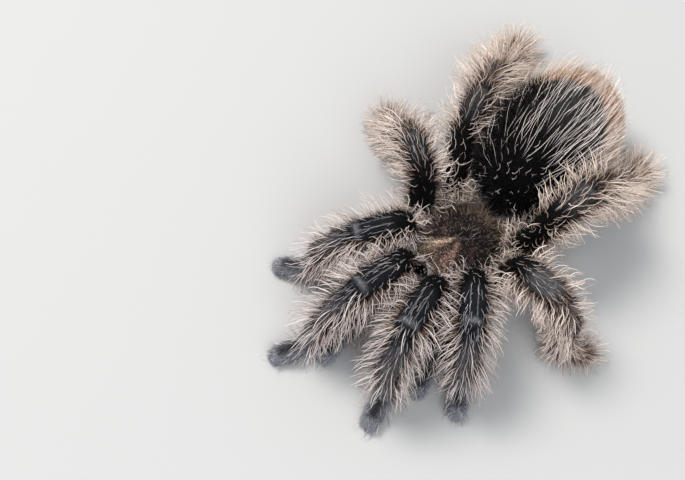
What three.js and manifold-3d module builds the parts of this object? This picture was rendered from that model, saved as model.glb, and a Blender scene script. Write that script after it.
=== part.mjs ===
// Curly-hair tarantula, adult, crouched with its legs drawn in, at life size.
// Millimetres, +Z up, the floor at z = 0. The animal faces -Y, so its right side is -X.
//
// Every solid gives the outline out to the tips of the coat. Each limb is a chain of turned
// segments that follow a bent line from the hip to the foot. Where two coats would run into
// each other they are parted by a plane between them, so that neighbours meet without overlap.

import * as THREE from 'three';
import { mergeVertices } from 'three/addons/utils/BufferGeometryUtils.js';
import Module from 'manifold-3d';

const wasm = await Module();
wasm.setup();

// ---------------------------------------------------------------------------------------
// Driving dimensions

const GAP = 0.3; // air left between two neighbouring solids
const SIDES = 12; // facets round a limb
const COXA_SIDES = 6; // facets round a coxa, which the carapace hides
const CARAPACE = { centre: [0, 0, 8], half: [11, 12, 6.6], rimHeight: 8 };
const CAPUT = { centre: [0, -6, 8], half: [6.6, 6.2, 6.8] };
const STERNUM = { centre: [0, -0.5, 6.6], half: [8.5, 10.5, 4.4], bottom: 2.8 };
const ABDOMEN = { centre: [0.4, 33.1, 14.5], half: [13.6, 20.4, 12], bottom: 2.9 };
const PEDICEL = { from: [0, 12.5, 8.6], to: [0, 14.2, 9.6], core: 2.2, coat: 0 };
const CHELICERA = { from: [2.7, -9.8, 9.2], to: [2.7, -16.6, 7.8], core: 2.8, coat: 0.8 };
const FANG = { root: [2.7, -17.0, 3.4], length: 7.5, drop: 0.7, radius: 0.8, tipRadius: 0.27 };
const SPINNERET = { from: [1.9, 47.6, 5.4], to: [2.9, 53.4, 4.4], core: 0.8, coat: 0.4 };
const TUBERCLE = { centre: [0, -10.1, 13.2], half: [1.3, 1.1, 0.9] };
const HEAD_TURN = { degrees: -8.5, about: [0, 2.6] }; // the head looks a little to its right
const COXA_ROOT = { inward: 0.45, forward: 0.72, height: 5.8 }; // inner end, as a share of the hip's place
const FOOT_CLEARANCE = 0.4; // how far the coat of the upper segments stays off the floor

// Eyes of one side, placed from the middle of the tubercle.
const EYES = [
  { place: [0.42, -0.45, 0.62], radius: 0.3 },
  { place: [0.86, -0.75, 0.2], radius: 0.28 },
  { place: [1.0, 0.2, 0.3], radius: 0.26 },
  { place: [0.72, 0.38, 0.46], radius: 0.2 },
];

// Segment lengths from the trochanter outwards.
const LENGTHS = {
  palp: [12.6, 8.2, 9.4, 7.4],
  leg_1: [17.0, 10.4, 12.4, 10.6, 6.9],
  leg_2: [15.6, 9.8, 10.6, 10.2, 6.6],
  leg_3: [13.8, 8.6, 9.6, 11.0, 6.7],
  leg_4: [17.0, 9.8, 12.8, 14.8, 8.8],
};

const SEGMENT_NAMES = {
  palp: ['femur', 'patella', 'tibia', 'tarsus'],
  leg: ['femur', 'patella', 'tibia', 'metatarsus', 'tarsus'],
};

// Where each limb leaves the body, on the left side.
const HIPS = {
  palp: [7.0, -12.0, 5.5],
  leg_1: [8.6, -8.6, 6.5],
  leg_2: [11.2, -3.6, 6.5],
  leg_3: [11.4, 2.8, 6.5],
  leg_4: [9.0, 9.0, 6.5],
};

// The pose. Yaw is the heading of a segment: 0 straight out to the side, -90 forwards and
// +90 backwards. Pitch is its slope: +90 straight up, -90 straight down. Degrees.
const POSE = {
  right_palp: { yaw: [-95, -88, -89, -89], pitch: [66, -47, -61, -11] },
  right_leg_1: { yaw: [-132, -75, -65, -61, -58], pitch: [63, -2, -46, -71, -10] },
  right_leg_2: { yaw: [-120, -51, -41, -35, -31], pitch: [74, -13, -43, -74, -10] },
  right_leg_3: { yaw: [48, 34, 35, 35, 36], pitch: [73, -5, -44, -64, -10] },
  right_leg_4: { yaw: [65, 73, 74, 74, 74], pitch: [43, 8, -25, -51, -9] },
  left_palp: { yaw: [-45, -78, -78, -78], pitch: [69, -42, -95, -11] },
  left_leg_1: { yaw: [-122, -80, -78, -78, -78], pitch: [65, 1, -49, -92, -9] },
  left_leg_2: { yaw: [-105, -55, -56, -58, -59], pitch: [73, -2, -54, -97, -9] },
  left_leg_3: { yaw: [-20, -6, -2, 1, 24], pitch: [73, 6, -53, -96, -9] },
  left_leg_4: { yaw: [36, 80, 85, 87, 89], pitch: [69, 4, -39, -59, -9] },
};

// Radius of the bare limb, and of the coat's tips at a segment's start, middle and end.
const CORE_RADIUS = { coxa: 2.4, femur: 2.3, patella: 2.6, tibia: 2.4, metatarsus: 1.9, tarsus: 1.9 };
const COAT_RADIUS = {
  coxa: [2.6, 3.0, 3.2],
  femur: [3.4, 4.6, 4.8],
  patella: [4.8, 6.2, 6.4],
  tibia: [6.4, 7.0, 6.2],
  metatarsus: [6.2, 5.4, 4.2],
  tarsus: [3.8, 3.3, 2.5],
};
const PALP_SCALE = 0.85; // a palp is this much slimmer than a leg

// The long hair of the hind feet stands further out on some feet than on others: times COAT_RADIUS.
const FLUFF = {
  right_leg_3: { metatarsus: 1.15, tarsus: 1.45 },
  left_leg_3: { tarsus: 1.1 },
  right_leg_4: { metatarsus: 1.2, tarsus: 1.8 },
  left_leg_4: { metatarsus: 1.1, tarsus: 1.55 },
};
const BLUNT_END = 0.86; // how far a chelicera or spinneret narrows to its free end

// ---------------------------------------------------------------------------------------
// Materials

function finish(color, roughness) {
  return new THREE.MeshStandardMaterial({ color, roughness, metalness: 0 });
}

const FINISHES = {
  femur: () => finish('#2a211d', 0.9),
  patella: () => finish('#3a3f42', 0.8),
  tibia: () => finish('#9c8676', 0.9),
  metatarsus: () => finish('#8f8178', 0.9),
  tarsus: () => finish('#6f7276', 0.9),
  carapace: () => finish('#4a3326', 0.85),
  abdomen: () => finish('#1c1613', 0.9),
  chelicera: () => finish('#4b3a30', 0.85),
  fang: () => finish('#120b08', 0.3),
  eyes: () => finish('#16100d', 0.2),
  underside: () => finish('#2b2320', 0.9),
};

// ---------------------------------------------------------------------------------------
// Between three.js geometry and solids that can be cut

function toSolid(geometry, matrix = new THREE.Matrix4()) {
  const bare = geometry.clone().applyMatrix4(matrix);
  bare.deleteAttribute('normal');
  bare.deleteAttribute('uv');
  const merged = mergeVertices(bare, 1e-4);
  return new wasm.Manifold(
    new wasm.Mesh({
      numProp: 3,
      vertProperties: new Float32Array(merged.attributes.position.array),
      triVerts: new Uint32Array(merged.index.array),
    }),
  );
}

function toGeometry(solid) {
  const mesh = solid.getMesh();
  const geometry = new THREE.BufferGeometry();
  geometry.setAttribute('position', new THREE.BufferAttribute(new Float32Array(mesh.vertProperties), 3));
  geometry.setIndex(new THREE.BufferAttribute(new Uint32Array(mesh.triVerts), 1));
  geometry.computeVertexNormals();
  return geometry;
}

// A half-space: everything on the side that the normal points to is kept.
function keepBeyond(solid, point, normal) {
  return solid.trimByPlane(normal.toArray(), normal.dot(point));
}

// ---------------------------------------------------------------------------------------
// Limbs

const vector = (values) => new THREE.Vector3(...values);

function heading(side, yaw, pitch) {
  const turn = THREE.MathUtils.degToRad(yaw);
  const slope = THREE.MathUtils.degToRad(pitch);
  return new THREE.Vector3(
    side * Math.cos(turn) * Math.cos(slope),
    Math.sin(turn) * Math.cos(slope),
    Math.sin(slope),
  );
}

// A turned body from `from` to `to`, with three radii and a rounded end past each joint.
function turnedSegment(from, to, radii, sides = SIDES) {
  const length = from.distanceTo(to);
  const [start, middle, end] = radii;
  const reach = 0.8; // how far the rounded end goes past the joint, in radii
  const shoulder = 0.72; // where the rounded end turns in
  const profile = [
    new THREE.Vector2(0, -reach * start),
    new THREE.Vector2(shoulder * start, -shoulder * reach * start),
    new THREE.Vector2(start, 0),
    new THREE.Vector2(middle, length / 2),
    new THREE.Vector2(end, length),
    new THREE.Vector2(shoulder * end, length + shoulder * reach * end),
    new THREE.Vector2(0, length + reach * end),
  ];
  const geometry = new THREE.LatheGeometry(profile, sides);
  const direction = to.clone().sub(from).normalize();
  const turn = new THREE.Quaternion().setFromUnitVectors(new THREE.Vector3(0, 1, 0), direction);
  return toSolid(geometry, new THREE.Matrix4().compose(from, turn, new THREE.Vector3(1, 1, 1)));
}

function limbPieces(limbName) {
  const [sideName, ...rest] = limbName.split('_');
  const kind = rest.join('_');
  const side = sideName === 'left' ? 1 : -1;
  const slim = kind === 'palp' ? PALP_SCALE : 1;
  const hip = vector(HIPS[kind]);
  hip.x *= side;
  const root = new THREE.Vector3(hip.x * COXA_ROOT.inward, hip.y * COXA_ROOT.forward, COXA_ROOT.height);
  const points = [root, hip];
  const { yaw, pitch } = POSE[limbName];
  LENGTHS[kind].forEach((length, i) => {
    const step = heading(side, yaw[i], pitch[i]).multiplyScalar(length);
    points.push(points[points.length - 1].clone().add(step));
  });
  const names = ['coxa', ...SEGMENT_NAMES[kind === 'palp' ? 'palp' : 'leg']];
  return names.map((segment, i) => {
    const width = slim * (FLUFF[limbName]?.[segment] ?? 1);
    const radii = COAT_RADIUS[segment].map((radius) => radius * width);
    const core = CORE_RADIUS[segment] * slim;
    return {
      name: `${limbName}_${segment}`,
      limb: limbName,
      order: i,
      segment,
      from: points[i],
      to: points[i + 1],
      core,
      coat: Math.max(...radii) - core,
      solid: turnedSegment(points[i], points[i + 1], radii, segment === 'coxa' ? COXA_SIDES : SIDES),
    };
  });
}

// The nearest points of two straight stretches, found by going from one to the other in turn.
function nearestPoints(a, b) {
  const lineA = new THREE.Line3(a.from, a.to);
  const lineB = new THREE.Line3(b.from, b.to);
  const onA = lineA.getCenter(new THREE.Vector3());
  const onB = new THREE.Vector3();
  for (let pass = 0; pass < 200; pass += 1) {
    lineB.closestPointToPoint(onA, true, onB);
    lineA.closestPointToPoint(onB, true, onA);
  }
  return [onA, onB];
}

// Two segments that meet at a joint are parted by the plane that halves their bend.
function partAtJoint(inner, outer) {
  const into = inner.to.clone().sub(inner.from).normalize();
  const out = outer.to.clone().sub(outer.from).normalize();
  const normal = into.add(out).normalize();
  const half = normal.clone().multiplyScalar(GAP / 2);
  inner.solid = keepBeyond(inner.solid, inner.to.clone().sub(half), normal.clone().negate());
  outer.solid = keepBeyond(outer.solid, inner.to.clone().add(half), normal);
}

// Two coats that run into each other are parted between the bare limbs inside them.
function partCoats(a, b) {
  const [onA, onB] = nearestPoints(a, b);
  const distance = onA.distanceTo(onB);
  if (distance > a.core + a.coat + b.core + b.coat + GAP) {
    return;
  }
  const normal = onB.clone().sub(onA).normalize();
  const free = distance - a.core - b.core;
  const apart = a.core + (free * a.coat) / (a.coat + b.coat);
  const crossing = (distance * a.core) / (a.core + b.core);
  const share = free > 0 ? apart : crossing;
  const between = onA.clone().addScaledVector(normal, share);
  const half = normal.clone().multiplyScalar(GAP / 2);
  a.solid = keepBeyond(a.solid, between.clone().sub(half), normal.clone().negate());
  b.solid = keepBeyond(b.solid, between.clone().add(half), normal);
}

// A limb beside a rounded body is trimmed by the plane that touches the body nearest to it.
function clearOfBody(piece, body) {
  const centre = vector(body.centre);
  const half = vector(body.half);
  const depth = (point) => point.clone().sub(centre).divide(half);
  const steps = 60;
  let nearest = piece.from;
  for (let i = 0; i <= steps; i += 1) {
    const point = piece.from.clone().lerp(piece.to, i / steps);
    if (depth(point).length() < depth(nearest).length()) {
      nearest = point;
    }
  }
  const scaled = depth(nearest);
  const normal = scaled.clone().divide(half).normalize();
  const touch = scaled.clone().normalize().multiply(half).add(centre);
  piece.solid = keepBeyond(piece.solid, touch.addScaledVector(normal, GAP), normal);
}

// ---------------------------------------------------------------------------------------
// Body

function spheroid(body, widthSegments, heightSegments, shape = (point) => point) {
  const geometry = new THREE.SphereGeometry(1, widthSegments, heightSegments);
  geometry.rotateX(Math.PI / 2);
  const positions = geometry.attributes.position;
  const point = new THREE.Vector3();
  for (let i = 0; i < positions.count; i += 1) {
    point.fromBufferAttribute(positions, i);
    shape(point);
    point.multiply(vector(body.half)).add(vector(body.centre));
    positions.setXYZ(i, point.x, point.y, point.z);
  }
  return toSolid(geometry);
}

// The head part turns about the groove of the carapace, with its eyes and jaws.
function turnHead(solid) {
  const [x, y] = HEAD_TURN.about;
  return solid.translate([-x, -y, 0]).rotate([0, 0, HEAD_TURN.degrees]).translate([x, y, 0]);
}

function turnHeadPoint(point) {
  const pivot = new THREE.Vector3(...HEAD_TURN.about, 0);
  const angle = THREE.MathUtils.degToRad(HEAD_TURN.degrees);
  return point.sub(pivot).applyAxisAngle(new THREE.Vector3(0, 0, 1), angle).add(pivot);
}

// The shield over the front body: widest behind the middle, with the raised head part in front.
function carapaceSolid() {
  const headNarrowing = 0.24;
  const shield = spheroid(CARAPACE, 22, 12, (point) => {
    point.x *= 1 - headNarrowing * Math.max(0, -point.y);
  });
  const caput = turnHead(spheroid(CAPUT, 16, 9));
  const rim = new THREE.Vector3(0, 0, CARAPACE.rimHeight + GAP / 2);
  return keepBeyond(shield.add(caput), rim, new THREE.Vector3(0, 0, 1));
}

// The breastplate with the ten coxae that spread from it.
function undersideSolid(coxae) {
  let solid = spheroid(STERNUM, 14, 7);
  for (const coxa of coxae) {
    solid = solid.add(coxa.solid);
  }
  const rim = new THREE.Vector3(0, 0, CARAPACE.rimHeight - GAP / 2);
  const bottom = new THREE.Vector3(0, 0, STERNUM.bottom);
  solid = keepBeyond(solid, rim, new THREE.Vector3(0, 0, -1));
  return keepBeyond(solid, bottom, new THREE.Vector3(0, 0, 1));
}

// The abdomen is an egg, fuller towards its rear, and hangs just off the floor.
function abdomenSolid() {
  const frontTaper = 0.1;
  const egg = spheroid(ABDOMEN, 22, 13, (point) => {
    point.x *= 1 + frontTaper * Math.min(0, point.y);
  });
  return keepBeyond(egg, new THREE.Vector3(0, 0, ABDOMEN.bottom), new THREE.Vector3(0, 0, 1));
}

// The low mound that carries eight eyes: two large round ones in front and above, six around them.
function tubercleSolid(carapace) {
  let mound = spheroid(TUBERCLE, 10, 6);
  for (const side of [-1, 1]) {
    for (const { place, radius } of EYES) {
      const centre = vector(TUBERCLE.centre).add(new THREE.Vector3(side * place[0], place[1], place[2]));
      const eye = { centre: centre.toArray(), half: [radius, radius, radius] };
      mound = mound.add(spheroid(eye, 6, 3));
    }
  }
  return turnHead(mound).subtract(carapace.translate([0, 0, GAP]));
}

// A fang folds back under its chelicera, curving down and inwards to a point.
function fangSolid(side) {
  const curve = new THREE.QuadraticBezierCurve3(
    new THREE.Vector3(side * FANG.root[0], FANG.root[1], FANG.root[2]),
    new THREE.Vector3(side * FANG.root[0], FANG.root[1] + FANG.length * 0.4, FANG.root[2] - FANG.drop * 1.6),
    new THREE.Vector3(side * FANG.root[0] * 0.8, FANG.root[1] + FANG.length, FANG.root[2] - FANG.drop),
  );
  const bands = 6;
  const geometry = new THREE.CylinderGeometry(FANG.tipRadius, FANG.radius, 1, 8, bands);
  const positions = geometry.attributes.position;
  const upright = new THREE.Vector3(0, 0, 1);
  for (let i = 0; i < positions.count; i += 1) {
    const along = positions.getY(i) + 0.5;
    const centre = curve.getPoint(along);
    const tangent = curve.getTangent(along);
    const across = new THREE.Vector3().crossVectors(tangent, upright).normalize();
    const above = new THREE.Vector3().crossVectors(across, tangent);
    centre.addScaledVector(across, positions.getX(i)).addScaledVector(above, positions.getZ(i));
    positions.setXYZ(i, centre.x, centre.y, centre.z);
  }
  return turnHead(toSolid(geometry));
}

// ---------------------------------------------------------------------------------------
// All the pieces, parted from each other

function pairedPiece(name, part, side, place = (point) => point) {
  const mirror = new THREE.Vector3(side, 1, 1);
  const from = place(vector(part.from).multiply(mirror));
  const to = place(vector(part.to).multiply(mirror));
  const radius = part.core + part.coat;
  const solid = turnedSegment(from, to, [radius, radius, radius * BLUNT_END]);
  return { name, limb: name, order: 0, from, to, core: part.core, coat: part.coat, solid };
}

const limbs = Object.keys(POSE).flatMap(limbPieces);
function bothSides(name, part, place) {
  return [pairedPiece(`left_${name}`, part, 1, place), pairedPiece(`right_${name}`, part, -1, place)];
}

const chelicerae = bothSides('chelicera', CHELICERA, turnHeadPoint);
const spinnerets = bothSides('spinneret', SPINNERET);
const pedicel = pairedPiece('pedicel', PEDICEL, 1);
const parted = [...limbs, ...chelicerae];

for (let i = 0; i < parted.length; i += 1) {
  for (let j = i + 1; j < parted.length; j += 1) {
    const a = parted[i];
    const b = parted[j];
    const sameLimb = a.limb === b.limb;
    if (sameLimb && b.order === a.order + 1) {
      partAtJoint(a, b);
    } else if (!(a.segment === 'coxa' && b.segment === 'coxa')) {
      partCoats(a, b);
    }
  }
}
partCoats(spinnerets[0], spinnerets[1]);

const outer = limbs.filter((piece) => piece.segment !== 'coxa');
for (const piece of outer) {
  [CARAPACE, ABDOMEN, STERNUM].forEach((body) => clearOfBody(piece, body));
  const floor = piece.segment === 'tarsus' ? 0 : FOOT_CLEARANCE;
  piece.solid = keepBeyond(piece.solid, new THREE.Vector3(0, 0, floor), new THREE.Vector3(0, 0, 1));
}
[CARAPACE, ABDOMEN, STERNUM].forEach((body) => clearOfBody(pedicel, body));
spinnerets.forEach((piece) => clearOfBody(piece, ABDOMEN));

const carapace = carapaceSolid();
const underside = undersideSolid(limbs.filter((piece) => piece.segment === 'coxa'));
for (const piece of chelicerae) {
  const clear = piece.solid.subtract(carapace.translate([0, -GAP, 0]));
  piece.solid = clear.subtract(underside.translate([0, -GAP, GAP]));
}

// ---------------------------------------------------------------------------------------
// The finished model

const tarantula = new THREE.Group();

function addNode(name, solid, material) {
  const mesh = new THREE.Mesh(toGeometry(solid), material);
  mesh.name = name;
  tarantula.add(mesh);
}

addNode('carapace', carapace, FINISHES.carapace());
addNode('eye_tubercle', tubercleSolid(carapace), FINISHES.eyes());
addNode('sternum_and_coxae', underside, FINISHES.underside());
addNode('abdomen', abdomenSolid(), FINISHES.abdomen());
addNode('pedicel', pedicel.solid, FINISHES.underside());
chelicerae.forEach((piece) => addNode(piece.name, piece.solid, FINISHES.chelicera()));
addNode('left_fang', fangSolid(1), FINISHES.fang());
addNode('right_fang', fangSolid(-1), FINISHES.fang());
spinnerets.forEach((piece) => addNode(piece.name, piece.solid, FINISHES.underside()));
outer.forEach((piece) => addNode(piece.name, piece.solid, FINISHES[piece.segment]()));

// The origin lies on the floor under the middle of the outline.
const box = new THREE.Box3().setFromObject(tarantula);
const middle = box.getCenter(new THREE.Vector3());
tarantula.position.set(-middle.x, -middle.y, -box.min.z);

export default tarantula;
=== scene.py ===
# %% [markdown]
# # A curly-hair tarantula
# This lesson dresses a finished set of solids as a living animal. The solids say how big the
# spider is and where every part of it lies. They go out to the tips of the hair, so the skin is
# made inside them and the coat grows from the skin back out to them.

import math

import bpy
import numpy as np
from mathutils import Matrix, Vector
from mathutils.bvhtree import BVHTree
from mathutils.kdtree import KDTree


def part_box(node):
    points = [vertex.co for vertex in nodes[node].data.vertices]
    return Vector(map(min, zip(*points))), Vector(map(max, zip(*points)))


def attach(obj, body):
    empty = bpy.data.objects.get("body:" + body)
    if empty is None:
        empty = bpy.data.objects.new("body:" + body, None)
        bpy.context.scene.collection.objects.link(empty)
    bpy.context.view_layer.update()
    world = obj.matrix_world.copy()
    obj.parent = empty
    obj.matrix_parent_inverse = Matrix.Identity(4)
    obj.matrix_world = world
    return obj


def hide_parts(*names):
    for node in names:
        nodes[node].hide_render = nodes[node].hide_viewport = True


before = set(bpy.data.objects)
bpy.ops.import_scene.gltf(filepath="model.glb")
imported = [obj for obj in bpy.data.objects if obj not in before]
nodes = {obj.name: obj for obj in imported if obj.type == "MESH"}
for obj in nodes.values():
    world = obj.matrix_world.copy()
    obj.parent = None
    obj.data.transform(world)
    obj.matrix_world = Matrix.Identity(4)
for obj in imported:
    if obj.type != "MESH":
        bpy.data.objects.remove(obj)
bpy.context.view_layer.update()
print("solids:", len(nodes))

# %% [markdown]
# ## Where the limbs run
# Every limb is a bent line: a hip, then one straight stretch for each segment. The same few
# lengths and angles that made the solids make the skin and the coat, so all three agree. The
# solids were moved so that the middle of their outline is the origin, and the abdomen's box says
# by how much.

# %% Limb lengths and angles
MM = 0.001
ABDOMEN_MIDDLE = np.array([0.4, 33.1, 14.5])
low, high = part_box("abdomen")
SHIFT = np.array([(low.x + high.x) / 2, (low.y + high.y) / 2, 0.0]) / MM - ABDOMEN_MIDDLE * [1, 1, 0]

LENGTHS = {
    "palp": (12.6, 8.2, 9.4, 7.4),
    "leg_1": (17.0, 10.4, 12.4, 10.6, 6.9),
    "leg_2": (15.6, 9.8, 10.6, 10.2, 6.6),
    "leg_3": (13.8, 8.6, 9.6, 11.0, 6.7),
    "leg_4": (17.0, 9.8, 12.8, 14.8, 8.8),
}
HIPS = {
    "palp": (7.0, -12.0, 5.5),
    "leg_1": (8.6, -8.6, 6.5),
    "leg_2": (11.2, -3.6, 6.5),
    "leg_3": (11.4, 2.8, 6.5),
    "leg_4": (9.0, 9.0, 6.5),
}
POSE = {
    "right_palp": ((-95, -88, -89, -89), (66, -47, -61, -11)),
    "right_leg_1": ((-132, -75, -65, -61, -58), (63, -2, -46, -71, -10)),
    "right_leg_2": ((-120, -51, -41, -35, -31), (74, -13, -43, -74, -10)),
    "right_leg_3": ((48, 34, 35, 35, 36), (73, -5, -44, -64, -10)),
    "right_leg_4": ((65, 73, 74, 74, 74), (43, 8, -25, -51, -9)),
    "left_palp": ((-45, -78, -78, -78), (69, -42, -95, -11)),
    "left_leg_1": ((-122, -80, -78, -78, -78), (65, 1, -49, -92, -9)),
    "left_leg_2": ((-105, -55, -56, -58, -59), (73, -2, -54, -97, -9)),
    "left_leg_3": ((-20, -6, -2, 1, 24), (73, 6, -53, -96, -9)),
    "left_leg_4": ((36, 80, 85, 87, 89), (69, 4, -39, -59, -9)),
}
LEG_PARTS = ("coxa", "femur", "patella", "tibia", "metatarsus", "tarsus")
PALP_PARTS = ("coxa", "femur", "patella", "tibia", "tarsus")
RADII = {
    "coxa": (2.0, 2.6, 2.7),
    "femur": (2.4, 2.55, 2.35),
    "patella": (2.3, 2.8, 2.6),
    "tibia": (2.35, 2.5, 2.1),
    "metatarsus": (1.9, 1.8, 1.55),
    "tarsus": (1.75, 2.15, 1.75),
    "spinneret": (1.5, 1.0, 0.55),
}
PALP_SLIMNESS = 0.86
UP = np.array([0.0, 0.0, 1.0])


# %% Bent lines
class Segment:
    """One stretch of a limb, with its own directions: along it, up its back, and across."""

    def __init__(self, limb, part, start, end, back, slim):
        self.limb = limb
        self.pair = limb.partition("_")[2]
        self.part = part
        self.look = part
        self.start = start
        self.length = np.linalg.norm(end - start)
        self.along = (end - start) / self.length
        self.back = back - self.along * back.dot(self.along)
        self.back /= np.linalg.norm(self.back)
        self.across = np.cross(self.along, self.back)
        self.radii = [r * slim for r in RADII[part]]

    def radius(self, t):
        return np.interp(t, (0.0, 0.5, 1.0), self.radii)


def limb_segments(limb):
    side = 1.0 if limb.startswith("left") else -1.0
    kind = limb.partition("_")[2]
    slim = PALP_SLIMNESS if kind == "palp" else 1.0
    hip = np.array(HIPS[kind]) * [side, 1, 1] + SHIFT
    root = np.array([HIPS[kind][0] * 0.45 * side, HIPS[kind][1] * 0.72, 5.8]) + SHIFT
    joints = [root, hip]
    backs = [UP]
    for length, yaw, pitch in zip(LENGTHS[kind], *POSE[limb]):
        turn = math.radians(yaw)
        slope = math.radians(pitch)
        heading = np.array([side * math.cos(turn), math.sin(turn), 0.0])
        joints.append(joints[-1] + length * (heading * math.cos(slope) + UP * math.sin(slope)))
        backs.append(UP * math.cos(slope) - heading * math.sin(slope))
    parts = PALP_PARTS if kind == "palp" else LEG_PARTS
    chain = [Segment(limb, part, joints[i], joints[i + 1], backs[i], slim) for i, part in enumerate(parts)]
    if kind in ("leg_3", "leg_4"):
        for segment in chain[-3:]:
            segment.look = f"hind_{segment.part}"
    return chain


def spinneret(side):
    start = np.array([side * 1.8, 43.5, 7.2]) + SHIFT
    end = np.array([side * 2.9, 52.6, 4.5]) + SHIFT
    return Segment("spinnerets", "spinneret", start, end, UP, 1.0)


limbs = {name: limb_segments(name) for name in POSE}
segments = [segment for chain in limbs.values() for segment in chain] + [spinneret(-1), spinneret(1)]
print("stretches of limb and spinneret:", len(segments))

# %% [markdown]
# ## The skin
# A spider's skin is one shell, so the finished skin has to be one mesh with no seams. It can be
# built by joining tubes edge to edge, which is slow where ten limbs meet. Overlapping plain forms
# and letting a voxel remesh wrap them all in one surface is quicker, and softens every joint the
# way a soft hinge does. Each form starts as a sphere whose middle is swollen to a bolster.


# %% Helpers for working by hand
def deselect_all():
    bpy.ops.object.select_all(action="DESELECT")


def activate(obj):
    deselect_all()
    obj.select_set(True)
    bpy.context.view_layer.objects.active = obj


def get_points(obj):
    points = np.empty(len(obj.data.vertices) * 3)
    obj.data.vertices.foreach_get("co", points)
    return points.reshape(-1, 3)


def set_points(obj, points):
    obj.data.vertices.foreach_set("co", np.asarray(points, float).ravel())
    obj.data.update()


# %% A drum with domed ends, modelled once
DOME = ((-0.55, 0.34), (-0.44, 0.66), (-0.25, 0.90), (0.0, 1.0))
RINGS = DOME + ((0.25, 1.0), (0.5, 1.0), (0.75, 1.0)) + tuple((1 - z, r) for z, r in reversed(DOME))


def model_drum():
    """A drum from z 0 to 1 of radius 1, with a dome past each end."""
    deselect_all()
    height, width = RINGS[0]
    bpy.ops.mesh.primitive_circle_add(vertices=18, radius=width, fill_type="NGON", location=(0, 0, height))
    drum = bpy.context.object
    bpy.ops.object.transform_apply(location=True, rotation=True, scale=True)
    bpy.ops.object.mode_set(mode="EDIT")
    bpy.ops.mesh.select_all(action="SELECT")
    for next_height, next_width in RINGS[1:]:
        bpy.ops.mesh.extrude_region_move(TRANSFORM_OT_translate={"value": (0, 0, next_height - height)})
        share = next_width / width
        bpy.ops.transform.resize(value=(share, share, 1), center_override=(0, 0, next_height))
        height, width = next_height, next_width
    bpy.ops.mesh.select_all(action="SELECT")
    bpy.ops.mesh.normals_make_consistent(inside=False)
    bpy.ops.object.mode_set(mode="OBJECT")
    return drum


drum = model_drum()
drum_points = get_points(drum)
print("drum:", len(drum_points), "points, from", drum_points[:, 2].min(), "to", drum_points[:, 2].max())


# %% A copy of the drum over every stretch of limb
def stretch_drum(segment):
    """A copy whose domes keep their shape and whose girth follows the limb."""
    x, y, z = drum_points.T
    t = np.clip(z, 0, 1)
    radius = segment.radius(t)
    reach = t * segment.length + (z - t) * radius
    points = segment.start + reach[:, None] * segment.along
    points = points + (x * radius)[:, None] * segment.back + (y * radius)[:, None] * segment.across
    copy = drum.copy()
    copy.data = drum.data.copy()
    copy.name = f"form_{segment.limb}_{segment.part}"
    bpy.context.scene.collection.objects.link(copy)
    set_points(copy, points * MM)
    return copy


forms = [stretch_drum(segment) for segment in segments]
bpy.data.objects.remove(drum)

# %% The forms of the body
CARAPACE = {"centre": (0.0, 0.3, 7.6), "half": (9.8, 11.2, 5.6)}
CAPUT = {"centre": (0.0, -5.6, 8.4), "half": (6.3, 5.8, 5.7)}
STERNUM = {"centre": (0.0, -0.5, 6.4), "half": (7.6, 9.6, 3.4)}
ABDOMEN = {"centre": (0.4, 32.4, 14.4), "half": (11.9, 18.3, 10.6)}
TUBERCLE = {"centre": (0.0, -9.7, 12.5), "half": (1.45, 1.2, 1.1)}
PEDICEL = {"centre": (0.2, 12.8, 8.8), "half": (2.0, 4.5, 1.9)}
JAW = {"centre": (2.75, -13.0, 8.6), "half": (2.5, 6.4, 3.3)}
JAW_TIP = {"centre": (2.75, -16.6, 7.4), "half": (2.3, 2.9, 3.2)}


# the head part, with its eyes and jaws, looks a little to the animal's right
HEAD_TURN = math.radians(-8.5)
HEAD_PIVOT = np.array([0.0, 2.6, 0.0])
HEAD_AXES = np.array(
    [
        [math.cos(HEAD_TURN), math.sin(HEAD_TURN), 0.0],
        [-math.sin(HEAD_TURN), math.cos(HEAD_TURN), 0.0],
        [0.0, 0.0, 1.0],
    ]
)


def turn_head(points):
    """Turns places given for a head that looks straight ahead."""
    return (np.asarray(points) - HEAD_PIVOT) @ HEAD_AXES + HEAD_PIVOT


def straighten_head(points):
    """The places that turn_head would have been given."""
    return (np.asarray(points) - HEAD_PIVOT) @ HEAD_AXES.T + HEAD_PIVOT


def add_ball(centre, half, side=1, turned=False):
    deselect_all()
    place = np.array(centre) * [side, 1, 1]
    if turned:
        place = turn_head(place)
    middle = (place + SHIFT) * MM
    bpy.ops.mesh.primitive_uv_sphere_add(segments=32, ring_count=20, radius=MM, location=middle, scale=half)
    if turned:
        bpy.context.object.rotation_euler = (0, 0, HEAD_TURN)
    bpy.ops.object.transform_apply(location=True, rotation=True, scale=True)
    return bpy.context.object


for part in (CARAPACE, STERNUM, PEDICEL):
    forms.append(add_ball(**part))
for part in (CAPUT, TUBERCLE):
    forms.append(add_ball(**part, turned=True))
for part in (JAW, JAW_TIP):
    for side in (-1, 1):
        forms.append(add_ball(**part, side=side, turned=True))

# the abdomen is blunter in front than an egg, where it overhangs the waist
BLUNT_POWER = 2.6
belly = add_ball(**ABDOMEN)
middle = (np.array(ABDOMEN["centre"]) + SHIFT) * MM
half = np.array(ABDOMEN["half"]) * MM
unit_points = (get_points(belly) - middle) / half
front = np.maximum(-unit_points[:, 1], 0)
ring = np.sqrt(np.maximum(1 - unit_points[:, 1] ** 2, 1e-9))
blunt = (1 - front**BLUNT_POWER) ** (1 / BLUNT_POWER)
unit_points[:, [0, 2]] *= np.where(front > 0, np.maximum(blunt / ring, 0), 1)[:, None].clip(0, 3)
set_points(belly, unit_points * half + middle)
forms.append(belly)
print("forms under the skin:", len(forms))


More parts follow.
